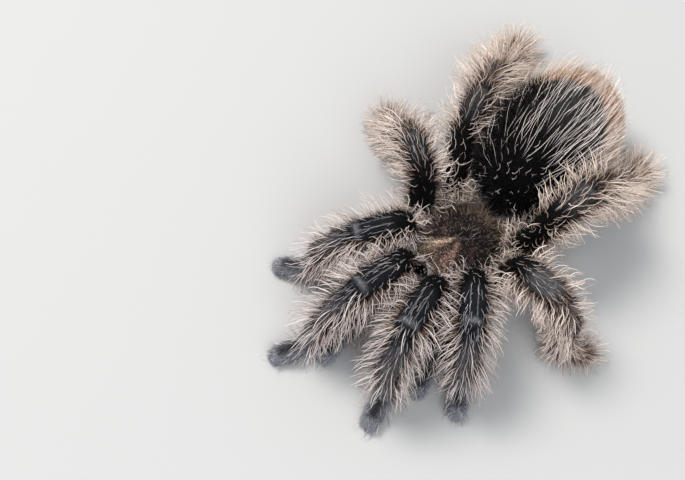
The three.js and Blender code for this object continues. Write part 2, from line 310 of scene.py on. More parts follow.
# %% One surface over them all
VOXEL = 0.42 * MM
deselect_all()
for form in forms:
    form.select_set(True)
bpy.context.view_layer.objects.active = forms[0]
bpy.ops.object.join()
skin = bpy.context.object
skin.name = "skin"
skin.data.name = "skin"
wrap = skin.modifiers.new("wrap", "REMESH")
wrap.mode = "VOXEL"
wrap.voxel_size = VOXEL
bpy.ops.object.modifier_apply(modifier=wrap.name)
ease = skin.modifiers.new("ease", "SMOOTH")
ease.factor = 0.5
ease.iterations = 6
bpy.ops.object.modifier_apply(modifier=ease.name)
bpy.ops.object.shade_smooth()
print("skin faces:", len(skin.data.polygons))


# %% Soles, the groove of the carapace and the furrows that run out from it
FOVEA_PLACE = np.array([0.0, 2.6, 13.0])
FOVEA = FOVEA_PLACE + SHIFT
skin_points = get_points(skin) / MM
from_fovea = skin_points - FOVEA
inside = np.hypot(from_fovea[:, 0] / 10.5, (from_fovea[:, 1] + 2.4) / 11.5) < 1.0
on_top = (skin_points[:, 2] > 8.8) & inside
angle = np.arctan2(from_fovea[:, 0], -from_fovea[:, 1])
spread = np.hypot(from_fovea[:, 0], from_fovea[:, 1])
FURROWS = np.radians([-150, -112, -72, -33, 33, 72, 112, 150]) + HEAD_TURN
furrow = np.zeros(len(skin_points))
for heading in FURROWS:
    off = np.abs(np.angle(np.exp(1j * (angle - heading)))) * spread
    furrow += np.exp(-((off / 0.75) ** 2))
fade = np.clip(spread / 2, 0, 1) * np.clip((9.5 - spread) / 3, 0, 1)
dent = 0.45 * furrow * fade + 1.3 * np.exp(-((spread / 1.1) ** 2))
skin_points[:, 2] -= np.where(on_top, dent, 0.0)
skin_points[:, 2] = np.maximum(skin_points[:, 2], 0.05)
set_points(skin, skin_points * MM)
print("lowest point of the skin, mm:", round(float(skin_points[:, 2].min()), 3))

# %% [markdown]
# ## Markings
# The colours of a tarantula follow its parts: black upper legs, slate shields with two bald stripes over the
# knees, grey feet and a bronze head. Some light and shade is painted in with them: a painted highlight at the
# far end of each knee shield, painted sheen on the back of the abdomen and painted shade round the waist. All
# of them are worked out once, from the part and the place on it, and stored in the mesh. The skin and every
# hair ask the same function, so a marking never stops where the hair begins.

# %% Colours by place
BLACK = np.array([0.0032, 0.0028, 0.0030])
SLATE = np.array([0.0105, 0.011, 0.014])
STRIPE = np.array([0.15, 0.15, 0.145])
# painted highlight: the pale blue-grey that light leaves on the far end of each knee shield
KNEE_HIGHLIGHT_BLUE = np.array([0.16, 0.163, 0.172])
ASH = np.array([0.088, 0.086, 0.090])
DUN = np.array([0.085, 0.074, 0.068])
MAUVE = np.array([0.115, 0.092, 0.095])
# painted sheen: the olive grey that light lends the black velvet on the back of the abdomen
OLIVE_SHEEN = np.array([0.046, 0.047, 0.044])
SPOT = np.array([0.060, 0.052, 0.045])
UMBER = np.array([0.13, 0.092, 0.062])
PAD = np.array([0.19, 0.19, 0.212])
PAD_RIM = np.array([0.29, 0.29, 0.32])
BRONZE = np.array([0.028, 0.019, 0.0175])
BAND = np.array([0.46, 0.34, 0.25])
ROSE = np.array([0.42, 0.25, 0.21])
RUST = np.array([0.16, 0.075, 0.045])
ORANGE = np.array([0.62, 0.38, 0.23])
TAN = np.array([0.42, 0.29, 0.22])
CREAM = np.array([0.88, 0.73, 0.62])
PEARL = np.array([0.86, 0.75, 0.71])
SILVER = np.array([0.50, 0.50, 0.55])
FANG_BROWN = np.array([0.010, 0.006, 0.005])
EYE_DARK = np.array([0.012, 0.008, 0.006])
# the pale side eyes: their own pearly colour, and also a painted glint
EYE_PEARL_GLINT = np.array([0.42, 0.39, 0.37])


def mix(a, b, share):
    share = np.asarray(share)[..., None]
    return a * (1 - share) + b * share


def smooth_step(low_edge, high_edge, value):
    x = np.clip((value - low_edge) / (high_edge - low_edge), 0, 1)
    return x * x * (3 - 2 * x)


def bump_at(value, middle, width):
    return np.exp(-(((value - middle) / width) ** 2))


def mottle(points, size):
    """Soft patches about size mm across, from 0 to 1."""
    x, y = points[:, 0] / size, points[:, 1] / size
    return 0.5 + 0.25 * (np.sin(2.1 * x + 1.7 * np.sin(1.3 * y)) + np.sin(2.7 * y + 1.3 * np.sin(1.9 * x)))


def joint_spot(look, t, theta):
    """1 on the bare dark spot over the last bend of a hind leg, where its long hair parts."""
    if look == "hind_tibia":
        along = smooth_step(0.66, 0.86, t)
    elif look == "hind_metatarsus":
        along = 1 - smooth_step(0.16, 0.32, t)
    else:
        return np.zeros_like(t)
    return along * (1 - smooth_step(0.7, 1.05, np.abs(theta)))


STRIPE_APART = 0.75  # mm from the middle of the back to a bald stripe
STRIPE_WIDTH = 0.16


def stripe_share(part, t, theta):
    """Where two bald stripes run along the back: full over the patella, fading out down the tibia."""
    if part not in ("patella", "tibia"):
        return np.zeros_like(t)
    along = smooth_step(0.12, 0.24, t) * (1 - smooth_step(0.84, 0.94, t))
    if part == "tibia":
        along = 0.6 * (1 - smooth_step(0.35, 0.65, t))
    return along * (np.abs(theta) < 0.9)


# how grey the shield over each hind knee is
KNEE_GREY = {"left_leg_3": 0.75, "right_leg_3": 0.1, "left_leg_4": 0.5, "right_leg_4": 0.3}


def limb_tone(look, limb, t, theta):
    """Colour of the skin and short fur of a limb. t runs along the part and theta round it from its back."""
    under = smooth_step(1.1, 2.1, np.abs(theta))
    hind = KNEE_GREY.get(limb, 0.0)
    if look == "femur":
        return mix(BLACK, mix(RUST, TAN, np.array(0.3)), 0.5 * (1 - smooth_step(0.0, 0.22, t)))
    if look == "patella":
        plate = mix(BLACK, SLATE, smooth_step(0.05, 0.35, t))
        plate = mix(plate, DUN if limb.endswith("4") else ASH, hind * smooth_step(0.2, 0.6, t))
        # a painted highlight across the far end of the knee shield, fainter on the hind knees
        knee_highlight = (0.3 if hind else 0.8) * bump_at(t, 0.97, 0.06) * bump_at(theta, 0.0, 1.0)
        return mix(mix(plate, KNEE_HIGHLIGHT_BLUE, knee_highlight), BLACK, 0.8 * under)
    if look == "tibia":
        shaft = mix(mix(SLATE, ASH, smooth_step(0.0, 0.9, t)), MAUVE, 0.5 * smooth_step(0.1, 0.7, t))
        return mix(shaft, BLACK, 0.8 * under)
    if look == "hind_tibia":
        shaft = mix(mix(BRONZE, mix(DUN, TAN, np.array(0.2)), smooth_step(0.0, 0.6, t)), BLACK, 0.7 * under)
        return mix(shaft, SPOT, joint_spot(look, t, theta))
    if look == "metatarsus":
        return mix(mix(ASH, PAD, 0.3 + 0.7 * smooth_step(0.0, 0.7, t)), BLACK, 0.6 * under)
    if look == "tarsus":
        middle = bump_at(theta, 0.0, 0.75) * (1 - smooth_step(0.7, 0.95, t))
        return mix(mix(PAD_RIM, SLATE, 0.9 * middle), BLACK, 0.5 * smooth_step(1.9, 2.6, np.abs(theta)))
    if look == "hind_tarsus":
        return mix(TAN, BLACK, 0.3 * under)
    if look.startswith("hind"):
        ground = mix(mix(ASH, TAN, np.full_like(t, 0.4)), BLACK, 0.5 * under)
        return mix(ground, SPOT, joint_spot(look, t, theta))
    return np.tile(mix(BLACK, RUST, np.array(0.4)), (len(t), 1))


RAYS = (0, 33, 72, 112, 150)  # degrees from straight ahead to each furrow, on either side


def carapace_tone(points):
    places = straighten_head(points - SHIFT)
    x, y = places[:, 0], places[:, 1] - FOVEA_PLACE[1]
    bearing = np.abs(np.degrees(np.arctan2(x, -y))) + 12 * (mottle(places, 0.35) - 0.5)
    reach = np.hypot(x, y)
    band = bump_at(bearing, 19, 8.0) * smooth_step(1.2, 3.0, reach) * (1 - smooth_step(10.5, 12.5, reach))
    furrow = sum(bump_at(bearing, ray, 5.0) for ray in RAYS) * smooth_step(1.0, 2.5, reach)
    patches = mottle(places, 1.3)
    ground = mix(BRONZE, BLACK, np.clip(0.65 * furrow + 0.8 * bump_at(reach, 0.0, 1.3), 0, 0.9))
    ground = mix(ground, UMBER, smooth_step(3.0, 8.5, y) * (0.2 + 0.7 * patches))
    ground = mix(ground, ROSE * 0.35, 0.5 * smooth_step(0.55, 0.9, patches) * (y < 0))
    rim = smooth_step(0.78, 0.98, np.hypot(x / 10.2, (y + 2.4) / 11.6))
    stripe = np.where((x < 0)[:, None], BAND * 1.45, ROSE * 1.3) * (0.6 + 0.8 * mottle(places, 0.5))[:, None]
    tone = mix(mix(ground, stripe, 0.9 * band), TAN, rim * (0.2 + 0.4 * patches))
    # a paler patch of skin round the black mound of the eyes
    tone = mix(tone, TAN * 0.7, 0.75 * bump_at(np.hypot(x, y + 11.4), 0.0, 3.4))
    mound = np.linalg.norm((places - TUBERCLE["centre"]) / TUBERCLE["half"], axis=1) < 0.97
    return np.where(mound[:, None], BLACK, tone)


RIM_REACH = 1.35  # the rear rim lies this much nearer to the middle than the rim of the flanks


def abdomen_edge(x, y):
    """From 0 on the back to 1 at the rim that runs along the flanks and round the rear."""
    return smooth_step(0.80, 0.97, np.hypot(x, RIM_REACH * np.maximum(y, 0.0)))


def beside_leg(x, y):
    """1 on the front of the right flank, which is dark beside the raised hind leg."""
    return smooth_step(0.3, 0.6, -x) * (1 - smooth_step(0.2, 0.5, y))


def abdomen_tone(points):
    x, y, z = ((points - SHIFT - ABDOMEN["centre"]) / ABDOMEN["half"]).T
    edge = abdomen_edge(x, y)
    rear = smooth_step(0.1, 0.45, y)
    flank = 0.35 * edge * (1 - rear) * smooth_step(-0.5, 0.0, y) * (1 - beside_leg(x, y))
    # black in front, turning olive grey towards the rear of the back: painted sheen on the velvet, which the
    # skin and the velvet hairs both take
    velvet = mix(mix(BLACK, OLIVE_SHEEN, smooth_step(-0.45, 0.45, y)), TAN, flank)
    return mix(velvet, ORANGE, 0.85 * edge * rear)


# %% Which part each point of the skin belongs to
def nearest_parts(points):
    """For each point: index of the nearest stretch, t and theta, how far outside it is, its local place."""
    best = np.full(len(points), 1e9)
    index = np.zeros(len(points), int)
    along = np.zeros(len(points))
    around = np.zeros(len(points))
    local = np.zeros((len(points), 3))
    for i, segment in enumerate(segments):
        offset = points - segment.start
        reach = offset @ segment.along
        t = np.clip(reach / segment.length, 0, 1)
        spoke = offset - t[:, None] * segment.length * segment.along
        gap = np.linalg.norm(spoke, axis=1) - segment.radius(t)
        closer = gap < best
        across, up = offset @ segment.across, offset @ segment.back
        best[closer] = gap[closer]
        index[closer] = i
        along[closer] = reach[closer] / segment.length
        around[closer] = np.arctan2(across[closer], up[closer])
        local[closer] = np.c_[across, up, reach][closer]
    return index, along, around, best, local


def gap_to(points, part):
    places = points - SHIFT
    if part is CAPUT:
        places = straighten_head(places)
    offset = places - np.array(part["centre"])
    size = np.linalg.norm(offset / np.array(part["half"]), axis=1)
    return (size - 1) * np.linalg.norm(offset, axis=1) / np.maximum(size, 1e-6)


UNDERSIDE = 7.4  # mm above the floor, the head is black below this
SKIN_SHADE = 0.5  # how bright the skin of the head is beside the velvet on it
# painted shade: the black reaches past the waist onto the edges of the head and abdomen, in the gap between
# them; the waist itself is dark anyway
WAIST_SHADE_REACH = 1.25  # the waist is black this far out, in its own half sizes


def skin_tone(points):
    index, t, theta, gap, local = nearest_parts(points)
    tone = np.zeros((len(points), 3))
    bald = np.zeros(len(points))
    for i, segment in enumerate(segments):
        own = index == i
        tone[own] = limb_tone(segment.look, segment.limb, t[own], theta[own])
        bald[own] = stripe_share(segment.part, t[own], theta[own])
    head = np.minimum(gap_to(points, CARAPACE), gap_to(points, CAPUT))
    belly = gap_to(points, ABDOMEN)
    on_head = head < gap
    on_belly = belly < np.minimum(gap, head)
    tone[on_head] = carapace_tone(points[on_head]) * SKIN_SHADE
    tone[on_belly] = abdomen_tone(points[on_belly])
    tone[(points[:, 2] < UNDERSIDE) & on_head] = BLACK
    bald[on_head | on_belly] = 0
    return tone, bald, np.where(on_head, -1, np.where(on_belly, -2, index)), local


tone, bald, owner, local = skin_tone(skin_points)
# the waist is painted black, partly its own dark colour and partly painted shade in the gap between head and
# abdomen
from_waist = (skin_points - SHIFT - PEDICEL["centre"]) / PEDICEL["half"]
tone[np.linalg.norm(from_waist, axis=1) < WAIST_SHADE_REACH] = BLACK
print("skin points coloured:", len(tone))


# %% Store the markings and the run of the fur in the mesh
def store_colour(mesh, name, colours):
    layer = mesh.attributes.new(name, "FLOAT_COLOR", "POINT")
    layer.data.foreach_set("color", np.c_[colours, np.ones(len(colours))].astype(np.float32).ravel())


def store_vector(mesh, name, values):
    layer = mesh.attributes.new(name, "FLOAT_VECTOR", "POINT")
    layer.data.foreach_set("vector", values.astype(np.float32).ravel())


store_colour(skin.data, "marking", tone)
grain = skin_points.copy()
on_limb = owner >= 0
grain[on_limb] = local[on_limb] + np.c_[np.zeros((on_limb.sum(), 2)), owner[on_limb] * 50.0]
store_vector(skin.data, "grain", grain)
store_colour(skin.data, "bald", np.repeat(bald[:, None], 3, axis=1))

# %% [markdown]
# ## Finishes
# Short fur that lies flat is too fine to model hair by hair, so the skin's own finish carries it:
# a fleck of lighter hairs stretched along the limb, the same fleck as bump, and a little sheen
# for the velvet look. The modelled hairs get a plain silky finish, because their colour already
# runs from root to tip in the mesh.


# %% Node helpers
def new_material(name):
    material = bpy.data.materials.new(name)
    material.use_nodes = True
    tree = material.node_tree
    tree.nodes.clear()
    shader = tree.nodes.new("ShaderNodeBsdfPrincipled")
    output = tree.nodes.new("ShaderNodeOutputMaterial")
    tree.links.new(shader.outputs["BSDF"], output.inputs["Surface"])
    return material, tree, shader


def add_node(tree, kind, feeds=None, **settings):
    """Adds a node. Each feed is a value for one of its sockets, or another node's output to wire to it."""
    node = tree.nodes.new(kind)
    for key, value in settings.items():
        setattr(node, key, value)
    feed(tree, node, feeds or {})
    return node


def feed(tree, node, feeds):
    for key, value in feeds.items():
        if isinstance(value, bpy.types.NodeSocket):
            tree.links.new(value, node.inputs[key])
        else:
            node.inputs[key].default_value = value


def own_attribute(tree, name):
    return add_node(tree, "ShaderNodeAttribute", attribute_name=name).outputs


def skin_finish():
    material, tree, shader = new_material("short_velvet")
    run = own_attribute(tree, "grain")["Vector"]
    squeeze = add_node(tree, "ShaderNodeVectorMath", {0: run, 1: (1.0, 1.0, 0.35)}, operation="MULTIPLY")
    fleck_feeds = {"Vector": squeeze.outputs["Vector"], "Scale": 5.0, "Detail": 4.0, "Roughness": 0.7}
    fleck = add_node(tree, "ShaderNodeTexNoise", fleck_feeds).outputs["Fac"]
    light_range = {"Value": fleck, "From Min": 0.35, "From Max": 0.72, "To Min": 0.4, "To Max": 1.9}
    lighten = add_node(tree, "ShaderNodeMapRange", light_range).outputs["Result"]
    marking = own_attribute(tree, "marking")["Color"]
    scale = add_node(tree, "ShaderNodeVectorMath", {0: marking, "Scale": lighten}, operation="SCALE")

    # two thin bald stripes, at the same distance on either side of the middle of the back
    axes = add_node(tree, "ShaderNodeSeparateXYZ", {"Vector": run})
    away = add_node(tree, "ShaderNodeMath", {0: axes.outputs["X"]}, operation="ABSOLUTE")
    off = add_node(tree, "ShaderNodeMath", {0: away.outputs["Value"], 1: STRIPE_APART}, operation="SUBTRACT")
    far = add_node(tree, "ShaderNodeMath", {0: off.outputs["Value"]}, operation="ABSOLUTE")
    near = {"Value": far.outputs["Value"], "From Max": STRIPE_WIDTH, "To Min": 1.0, "To Max": 0.0}
    line = add_node(tree, "ShaderNodeMapRange", near, interpolation_type="SMOOTHSTEP").outputs["Result"]
    bald_part = own_attribute(tree, "bald")["Fac"]
    stripe = add_node(tree, "ShaderNodeMath", {0: line, 1: bald_part}, operation="MULTIPLY")
    paint_feeds = {"Factor": stripe.outputs["Value"], "A": scale.outputs["Vector"], "B": (*STRIPE, 1)}
    paint = add_node(tree, "ShaderNodeMix", paint_feeds, data_type="RGBA")
    bump = add_node(tree, "ShaderNodeBump", {"Strength": 0.7, "Distance": 0.0002, "Height": fleck})
    look = {"Roughness": 0.8, "Specular IOR Level": 0.07, "Sheen Weight": 0.03, "Sheen Roughness": 0.4}
    feed(tree, shader, {"Base Color": paint.outputs["Result"], "Normal": bump.outputs["Normal"], **look})
    return material


def hair_finish():
    material, tree, shader = new_material("silky_hair")
    tint = own_attribute(tree, "tint")["Color"]
    feed(tree, shader, {"Base Color": tint, "Roughness": 0.5, "Specular IOR Level": 0.09})
    return material


def horn_finish():
    """Shiny black-brown, a little clouded."""
    material, tree, shader = new_material("fang_horn")
    place = add_node(tree, "ShaderNodeTexCoord").outputs["Object"]
    cloud = add_node(tree, "ShaderNodeTexNoise", {"Vector": place, "Scale": 900.0})
    shade = add_node(tree, "ShaderNodeValToRGB", {"Fac": cloud.outputs["Fac"]})
    for element, light in zip(shade.color_ramp.elements, (0.6, 1.6)):
        element.color = (*(FANG_BROWN * light), 1)
    feed(tree, shader, {"Base Color": shade.outputs["Color"], "Roughness": 0.18, "Specular IOR Level": 0.5})
    return material


def eye_finish():
    """Wet glass over each eye's stored colour, which on the pearly ovals is partly a painted glint."""
    material, tree, shader = new_material("eye_glass")
    own_tone = own_attribute(tree, "marking")["Color"]
    feed(tree, shader, {"Base Color": own_tone, "Roughness": 0.1, "Specular IOR Level": 1.0})
    return material


silky_hair = hair_finish()
skin.data.materials.append(skin_finish())
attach(skin, "root")
SEPARATE = ("eye_tubercle", "left_fang", "right_fang")
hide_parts(*[name for name in nodes if name not in SEPARATE])

# %% [markdown]
# ## Growing hair
# Particle hair would be the usual way, but a finished model needs solid hairs. So each hair is a
# three-sided spike that follows its own curve. One function grows thousands at a time: it walks
# every hair from its root in short steps, turns it from its first heading to its last one, adds a
# curl, and gathers neighbours into locks.

# %% A patch of surface to grow from
skin_tree = BVHTree.FromPolygons(
    [tuple(p) for p in skin_points.tolist()],
    [tuple(polygon.vertices) for polygon in skin.data.polygons],
)
ROOT_DEPTH = 0.12


def settle(points, outward, most_off=1.1, most_buried=0.7):
    """Moves points to the skin. Keeps those that were near it, not buried in it, and faced the same way."""
    settled = np.zeros_like(points)
    normals = np.zeros_like(points)
    kept = np.zeros(len(points), bool)
    for i, point in enumerate(points.tolist()):
        spot, normal, _, _ = skin_tree.find_nearest(point, most_off)
        if spot is None:
            continue
        settled[i] = spot
        normals[i] = normal
        kept[i] = True
    kept &= np.sum(normals * outward, axis=1) > 0.3
    kept &= np.sum((points - settled) * normals, axis=1) > -most_buried
    return settled - ROOT_DEPTH * normals, normals, kept


# %% The path of every hair
def unit(v):
    return v / np.maximum(np.linalg.norm(v, axis=-1, keepdims=True), 1e-9)


def gather(path, roots, lock_size, hold, rng):
    """Draws hairs towards a leader near them, more at the tips than at the roots."""
    count = len(roots)
    leaders = rng.permutation(count)[: max(1, int(count / lock_size))]
    tree = KDTree(len(leaders))
    for k, leader in enumerate(leaders):
        tree.insert(roots[leader], k)
    tree.balance()
    chief = np.array([leaders[tree.find(root)[1]] for root in roots])
    s = np.linspace(0, 1, path.shape[1])[None, :, None]
    pull = hold * s**1.3
    return path + (path[chief] - path) * pull


def grow(roots, first, last, length, curl, turns, steps, rng):
    """Walks each hair from its root, turning from its first heading to its last, and winds a curl on it."""
    count = len(roots)
    path = np.zeros((count, steps + 1, 3))
    path[:, 0] = roots
    for k in range(steps):
        s = ((k + 0.5) / steps) ** 1.2
        heading = unit(first * (1 - s) + last * s)
        path[:, k + 1] = path[:, k] + heading * (length / steps)[:, None]
    side = unit(np.cross(first, rng.normal(size=(count, 3))))
    other = unit(np.cross(first, side))
    phase = rng.uniform(0, 2 * math.pi, count)
    for k in range(1, steps + 1):
        s = k / steps
        swing = phase + 2 * math.pi * turns * s
        size = curl * s**0.8
        path[:, k] += (size * (np.cos(swing) - np.cos(phase)))[:, None] * side
        path[:, k] += (size * (np.sin(swing) - np.sin(phase)))[:, None] * other
    path[:, 1:, 2] = np.maximum(path[:, 1:, 2], 0.15)
    return path


# %% A spike along every path
SIDES = 3
AWRY = np.array([0.35, -0.6, 0.72])  # gives a straight hair its sideways direction
SLIMMING = 0.5  # how much of its width a hair loses before its point


def spikes(path, thick):
    """Closed three-sided spikes along the paths: points, faces, each face corner's place along its hair."""
    count, rings, _ = path.shape
    rings -= 1
    run = np.empty((count, rings, 3))
    run[:, 0] = path[:, 1] - path[:, 0]
    run[:, 1:] = path[:, 2:] - path[:, :-2]
    run = unit(run)
    reference = np.cross(run[:, 0], path[:, -1] - path[:, 0]) + 0.01 * np.cross(run[:, 0], AWRY)
    u = unit(reference[:, None, :] - np.sum(reference[:, None, :] * run, axis=2, keepdims=True) * run)
    v = np.cross(run, u)
    s = np.arange(rings) / rings
    width = thick[:, None] * (1 - SLIMMING * s)[None, :] / 2
    rows = []
    for j in range(SIDES):
        a = 2 * math.pi * j / SIDES
        rows.append(path[:, :rings] + width[..., None] * (math.cos(a) * u + math.sin(a) * v))
    points = np.stack(rows, axis=2).reshape(count, rings * SIDES, 3)
    points = np.concatenate([points, path[:, -1:]], axis=1)
    faces = []
    places = []
    for r in range(rings - 1):
        for j in range(SIDES):
            k = (j + 1) % SIDES
            faces.append((r * SIDES + j, r * SIDES + k, (r + 1) * SIDES + k, (r + 1) * SIDES + j))
            places.append(((r, j), (r, j + 1), (r + 1, j + 1), (r + 1, j)))
    tip = rings * SIDES
    last_ring = rings - 1
    for j in range(SIDES):
        faces.append((last_ring * SIDES + j, last_ring * SIDES + (j + 1) % SIDES, tip))
        places.append(((last_ring, j), (last_ring, j + 1), (rings, j + 0.5)))
    faces.append((0, 2, 1))
    places.append(((0, 0), (0, 2), (0, 1)))
    return points, faces, places, rings


# %% Hairs to one mesh, with colours and a bake map
PATCH = 0.003  # how big one hair's place on the bake map is
PALE_FROM = 0.35  # how far up a hair its root colour has faded out


class Coat:
    """Collects groups of hairs and turns them into one piece."""

    def __init__(self, name):
        self.name = name
        self.groups = []

    def add(self, path, thick, root_colour, tip_colour, uv):
        if len(path):
            self.groups.append((path, thick, root_colour, tip_colour, uv))

    def build(self):
        points_all, corners_all, sizes_all, uv_all, colour_all = [], [], [], [], []
        first = 0
        for path, thick, root_colour, tip_colour, uv in self.groups:
            points, faces, places, rings = spikes(path, thick)
            count, per_hair, _ = points.shape
            pattern = np.array([v for face in faces for v in face])
            corners = (np.arange(count) * per_hair)[:, None] + pattern[None, :] + first
            sizes = np.tile([len(face) for face in faces], count)
            flat_places = np.array([place for face in places for place in face], float)
            patch = np.c_[flat_places[:, 1] / SIDES, flat_places[:, 0] / rings] * PATCH
            uv_all.append((uv[:, None, :] + patch[None, :, :]).reshape(-1, 2))
            height = np.r_[np.repeat(np.arange(rings) / rings, SIDES), 1.0]
            s = smooth_step(0.0, PALE_FROM, height)[None, :, None]
            colours = root_colour[:, None, :] * (1 - s) + tip_colour[:, None, :] * s
            colour_all.append(colours.reshape(-1, 3))
            points_all.append(points.reshape(-1, 3))
            corners_all.append(corners.ravel())
            sizes_all.append(sizes)
            first += count * per_hair
        points = np.concatenate(points_all) * MM
        corners = np.concatenate(corners_all).astype(np.int32)
        sizes = np.concatenate(sizes_all).astype(np.int32)
        mesh = bpy.data.meshes.new(self.name)
        mesh.vertices.add(len(points))
        mesh.vertices.foreach_set("co", points.ravel())
        mesh.loops.add(len(corners))
        mesh.loops.foreach_set("vertex_index", corners)
        mesh.polygons.add(len(sizes))
        mesh.polygons.foreach_set("loop_start", np.r_[0, np.cumsum(sizes)[:-1]].astype(np.int32))
        mesh.update(calc_edges=True)
        mesh.polygons.foreach_set("use_smooth", np.ones(len(sizes), bool))
        bake_map = mesh.uv_layers.new(name="OFBake")
        bake_map.uv.foreach_set("vector", np.concatenate(uv_all).astype(np.float32).ravel())
        store_colour(mesh, "tint", np.concatenate(colour_all))
        mesh.materials.append(silky_hair)
        obj = bpy.data.objects.new(self.name, mesh)
        bpy.context.scene.collection.objects.link(obj)
        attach(obj, "root")
        triangles = int(np.sum(sizes - 2))
        print(f"{self.name}: {sum(len(g[0]) for g in self.groups)} hairs, {triangles} triangles")
        return triangles


# %% Planting a kind of hair
GOLDEN = math.pi * (3 - math.sqrt(5))
EYE_MIDDLE = turn_head(TUBERCLE["centre"]) + SHIFT
EYES_FACE = np.array([0.30, -0.36, 0.88])  # hairs are kept out of the eyes' way on this side
LOW_CLEAR = 4.0
HIGH_CLEAR = 30.0
CLEAR_RADIUS = 1.8


def lean(outward, along, degrees):
    angle = np.radians(degrees)[:, None]
    return unit(outward * np.cos(angle) + along * np.sin(angle))


def jitter(vectors, amount, rng):
    return unit(vectors + rng.normal(0, amount, vectors.shape))


def along_skin(normals, heading):
    heading = np.broadcast_to(heading, normals.shape)
    return unit(heading - normals * np.sum(normals * heading, axis=1)[:, None] + 1e-6)


def over_eyes(path, height):
    """True for a hair that hangs between the eyes and whoever looks down on them."""
    offset = path - EYE_MIDDLE
    ahead = offset @ EYES_FACE
    aside = np.linalg.norm(offset - ahead[..., None] * EYES_FACE, axis=2)
    return np.any((ahead > 0.2) & (ahead < height) & (aside < CLEAR_RADIUS), axis=1)


def clear_of_eyes(path, rng):
    return ~over_eyes(path, LOW_CLEAR)


SHIELD_SHARE = 0.82  # how much of the carapace stays free of leg hair
SHIELD_KEEP = 0.2  # how many of the hairs over it are left


def clear_of_shield(path, rng):
    """False for most leg hairs that would lie over the carapace, and for all over the eyes."""
    flat = (path - SHIFT - np.array(CARAPACE["centre"])) / np.array(CARAPACE["half"])
    over = np.any((np.hypot(flat[..., 0], flat[..., 1] * 0.93) < SHIELD_SHARE) & (flat[..., 2] > 0.1), axis=1)
    return ~over_eyes(path, HIGH_CLEAR) & (~over | (rng.uniform(0, 1, len(path)) < SHIELD_KEEP))


def all_kept(path, rng):
    return np.ones(len(path), bool)


def plant(coat, kind, roots, normals, heading, uv, colours, rng, size=1.0, spare=clear_of_eyes, curly=1.0):
    """Grows one kind of hair on the given places. Lengths are in mm and leans in degrees from upright."""
    n = len(roots)
    if n == 0:
        return
    along = along_skin(normals, heading)
    stray = kind.get("stray", 0.15)
    shortest, longest = kind["length"]
    length = (shortest + (longest - shortest) * rng.uniform(0, 1, n) ** 1.25) * size
    first = jitter(lean(normals, along, rng.normal(kind["lean"][0], 6, n)), stray, rng)
    last = jitter(lean(normals, along, rng.normal(kind["lean"][1], 5, n)), stray, rng)
    curl = rng.uniform(*kind.get("curl", (0, 0)), n) * curly
    turns = rng.uniform(*kind.get("turns", (0, 0)), n)
    path = grow(roots, first, last, length, curl, turns, kind["steps"], rng)
    if kind.get("hold"):
        path = gather(path, roots, kind["lock"], kind["hold"], rng)
    keep = spare(path, rng)
    thick = rng.uniform(*kind["thick"], n)
    root_colour, tip_colour = colours
    coat.add(path[keep], thick[keep], root_colour[keep], tip_colour[keep], uv[keep])


def shades(low, high, count, rng):
    """How bright each hair is, as a column."""
    return rng.uniform(low, high, count)[:, None]


# %% [markdown]
# ## The coat of the limbs
# The leg hairs come in four layers. Long pale bristles stand off the sides of every segment and sweep towards
# the foot, curlier the nearer they are to the body, and on the hind feet they cover everything. A soft dark
# undercoat fills their feet; its darkness is partly the animal's own short dark hair and partly painted shade
# in the gaps between the long hairs. A few pale curls lie over the dark shields, and short fur hugs the skin.
# Each kind is a row of numbers, so that one loop dresses ten limbs.

# %% Kinds of leg hair
# density counts hairs on a square mm, lengths are in mm, leans in degrees from upright to the foot
BRISTLE = {
    "coxa": dict(density=3.6, length=(2.6, 5.0), lean=(5, 40), curl=(0.3, 0.75), turns=(0.6, 1.5)),
    "femur": dict(density=1.45, length=(3.4, 6.4), lean=(10, 42), curl=(0.35, 0.9), turns=(0.6, 1.4)),
    "patella": dict(density=1.4, length=(4.4, 7.0), lean=(12, 46), curl=(0.25, 0.6), turns=(0.5, 1.1)),
    "tibia": dict(density=1.25, length=(4.6, 7.6), lean=(20, 60), curl=(0.2, 0.55), turns=(0.5, 1.1)),
    "metatarsus": dict(density=1.15, length=(4.2, 6.6), lean=(30, 60), curl=(0.15, 0.4), turns=(0.4, 0.9)),
    "tarsus": dict(density=0.5, length=(2.4, 4.0), lean=(34, 62), curl=(0.0, 0.12), turns=(0.3, 0.8)),
    "hind_tibia": dict(density=1.45, length=(4.4, 7.2), lean=(12, 46), curl=(0.2, 0.6), turns=(0.5, 1.2)),
    "hind_metatarsus": dict(density=1.6, length=(4.0, 6.2), lean=(8, 34), curl=(0.12, 0.4), turns=(0.4, 1.0)),
    "hind_tarsus": dict(density=2.5, length=(3.6, 5.6), lean=(2, 24), curl=(0.12, 0.35), turns=(0.4, 1.0)),
}
UNDERCOAT = dict(density=3.0, length=(1.6, 3.2), lean=(10, 50))
STRAY_CURL = dict(density=0.8, length=(1.4, 3.6), lean=(56, 80), curl=(0.08, 0.3), turns=(0.4, 1.0))
FUR = {
    "coxa": dict(density=4.0, length=(0.9, 1.7)),
    "femur": dict(density=11.0, length=(0.7, 1.3)),
    "patella": dict(density=13.0, length=(0.5, 1.0)),
    "tibia": dict(density=10.0, length=(0.7, 1.4)),
    "metatarsus": dict(density=15.0, length=(0.9, 1.8)),
    "tarsus": dict(density=28.0, length=(0.8, 1.5)),
    "hind_tibia": dict(density=7.0, length=(0.7, 1.4)),
    "hind_metatarsus": dict(density=5.0, length=(0.9, 1.8)),
    "hind_tarsus": dict(density=5.0, length=(0.9, 1.8)),
}
for kind in BRISTLE.values():
    kind.update(thick=(0.18, 0.26), steps=6, stray=0.12, hold=0.18, lock=2)
for look in ("coxa", "femur", "patella"):
    BRISTLE[look]["steps"] = 7
for look in ("hind_metatarsus", "hind_tarsus"):
    BRISTLE[look].update(hold=0.35, lock=3)
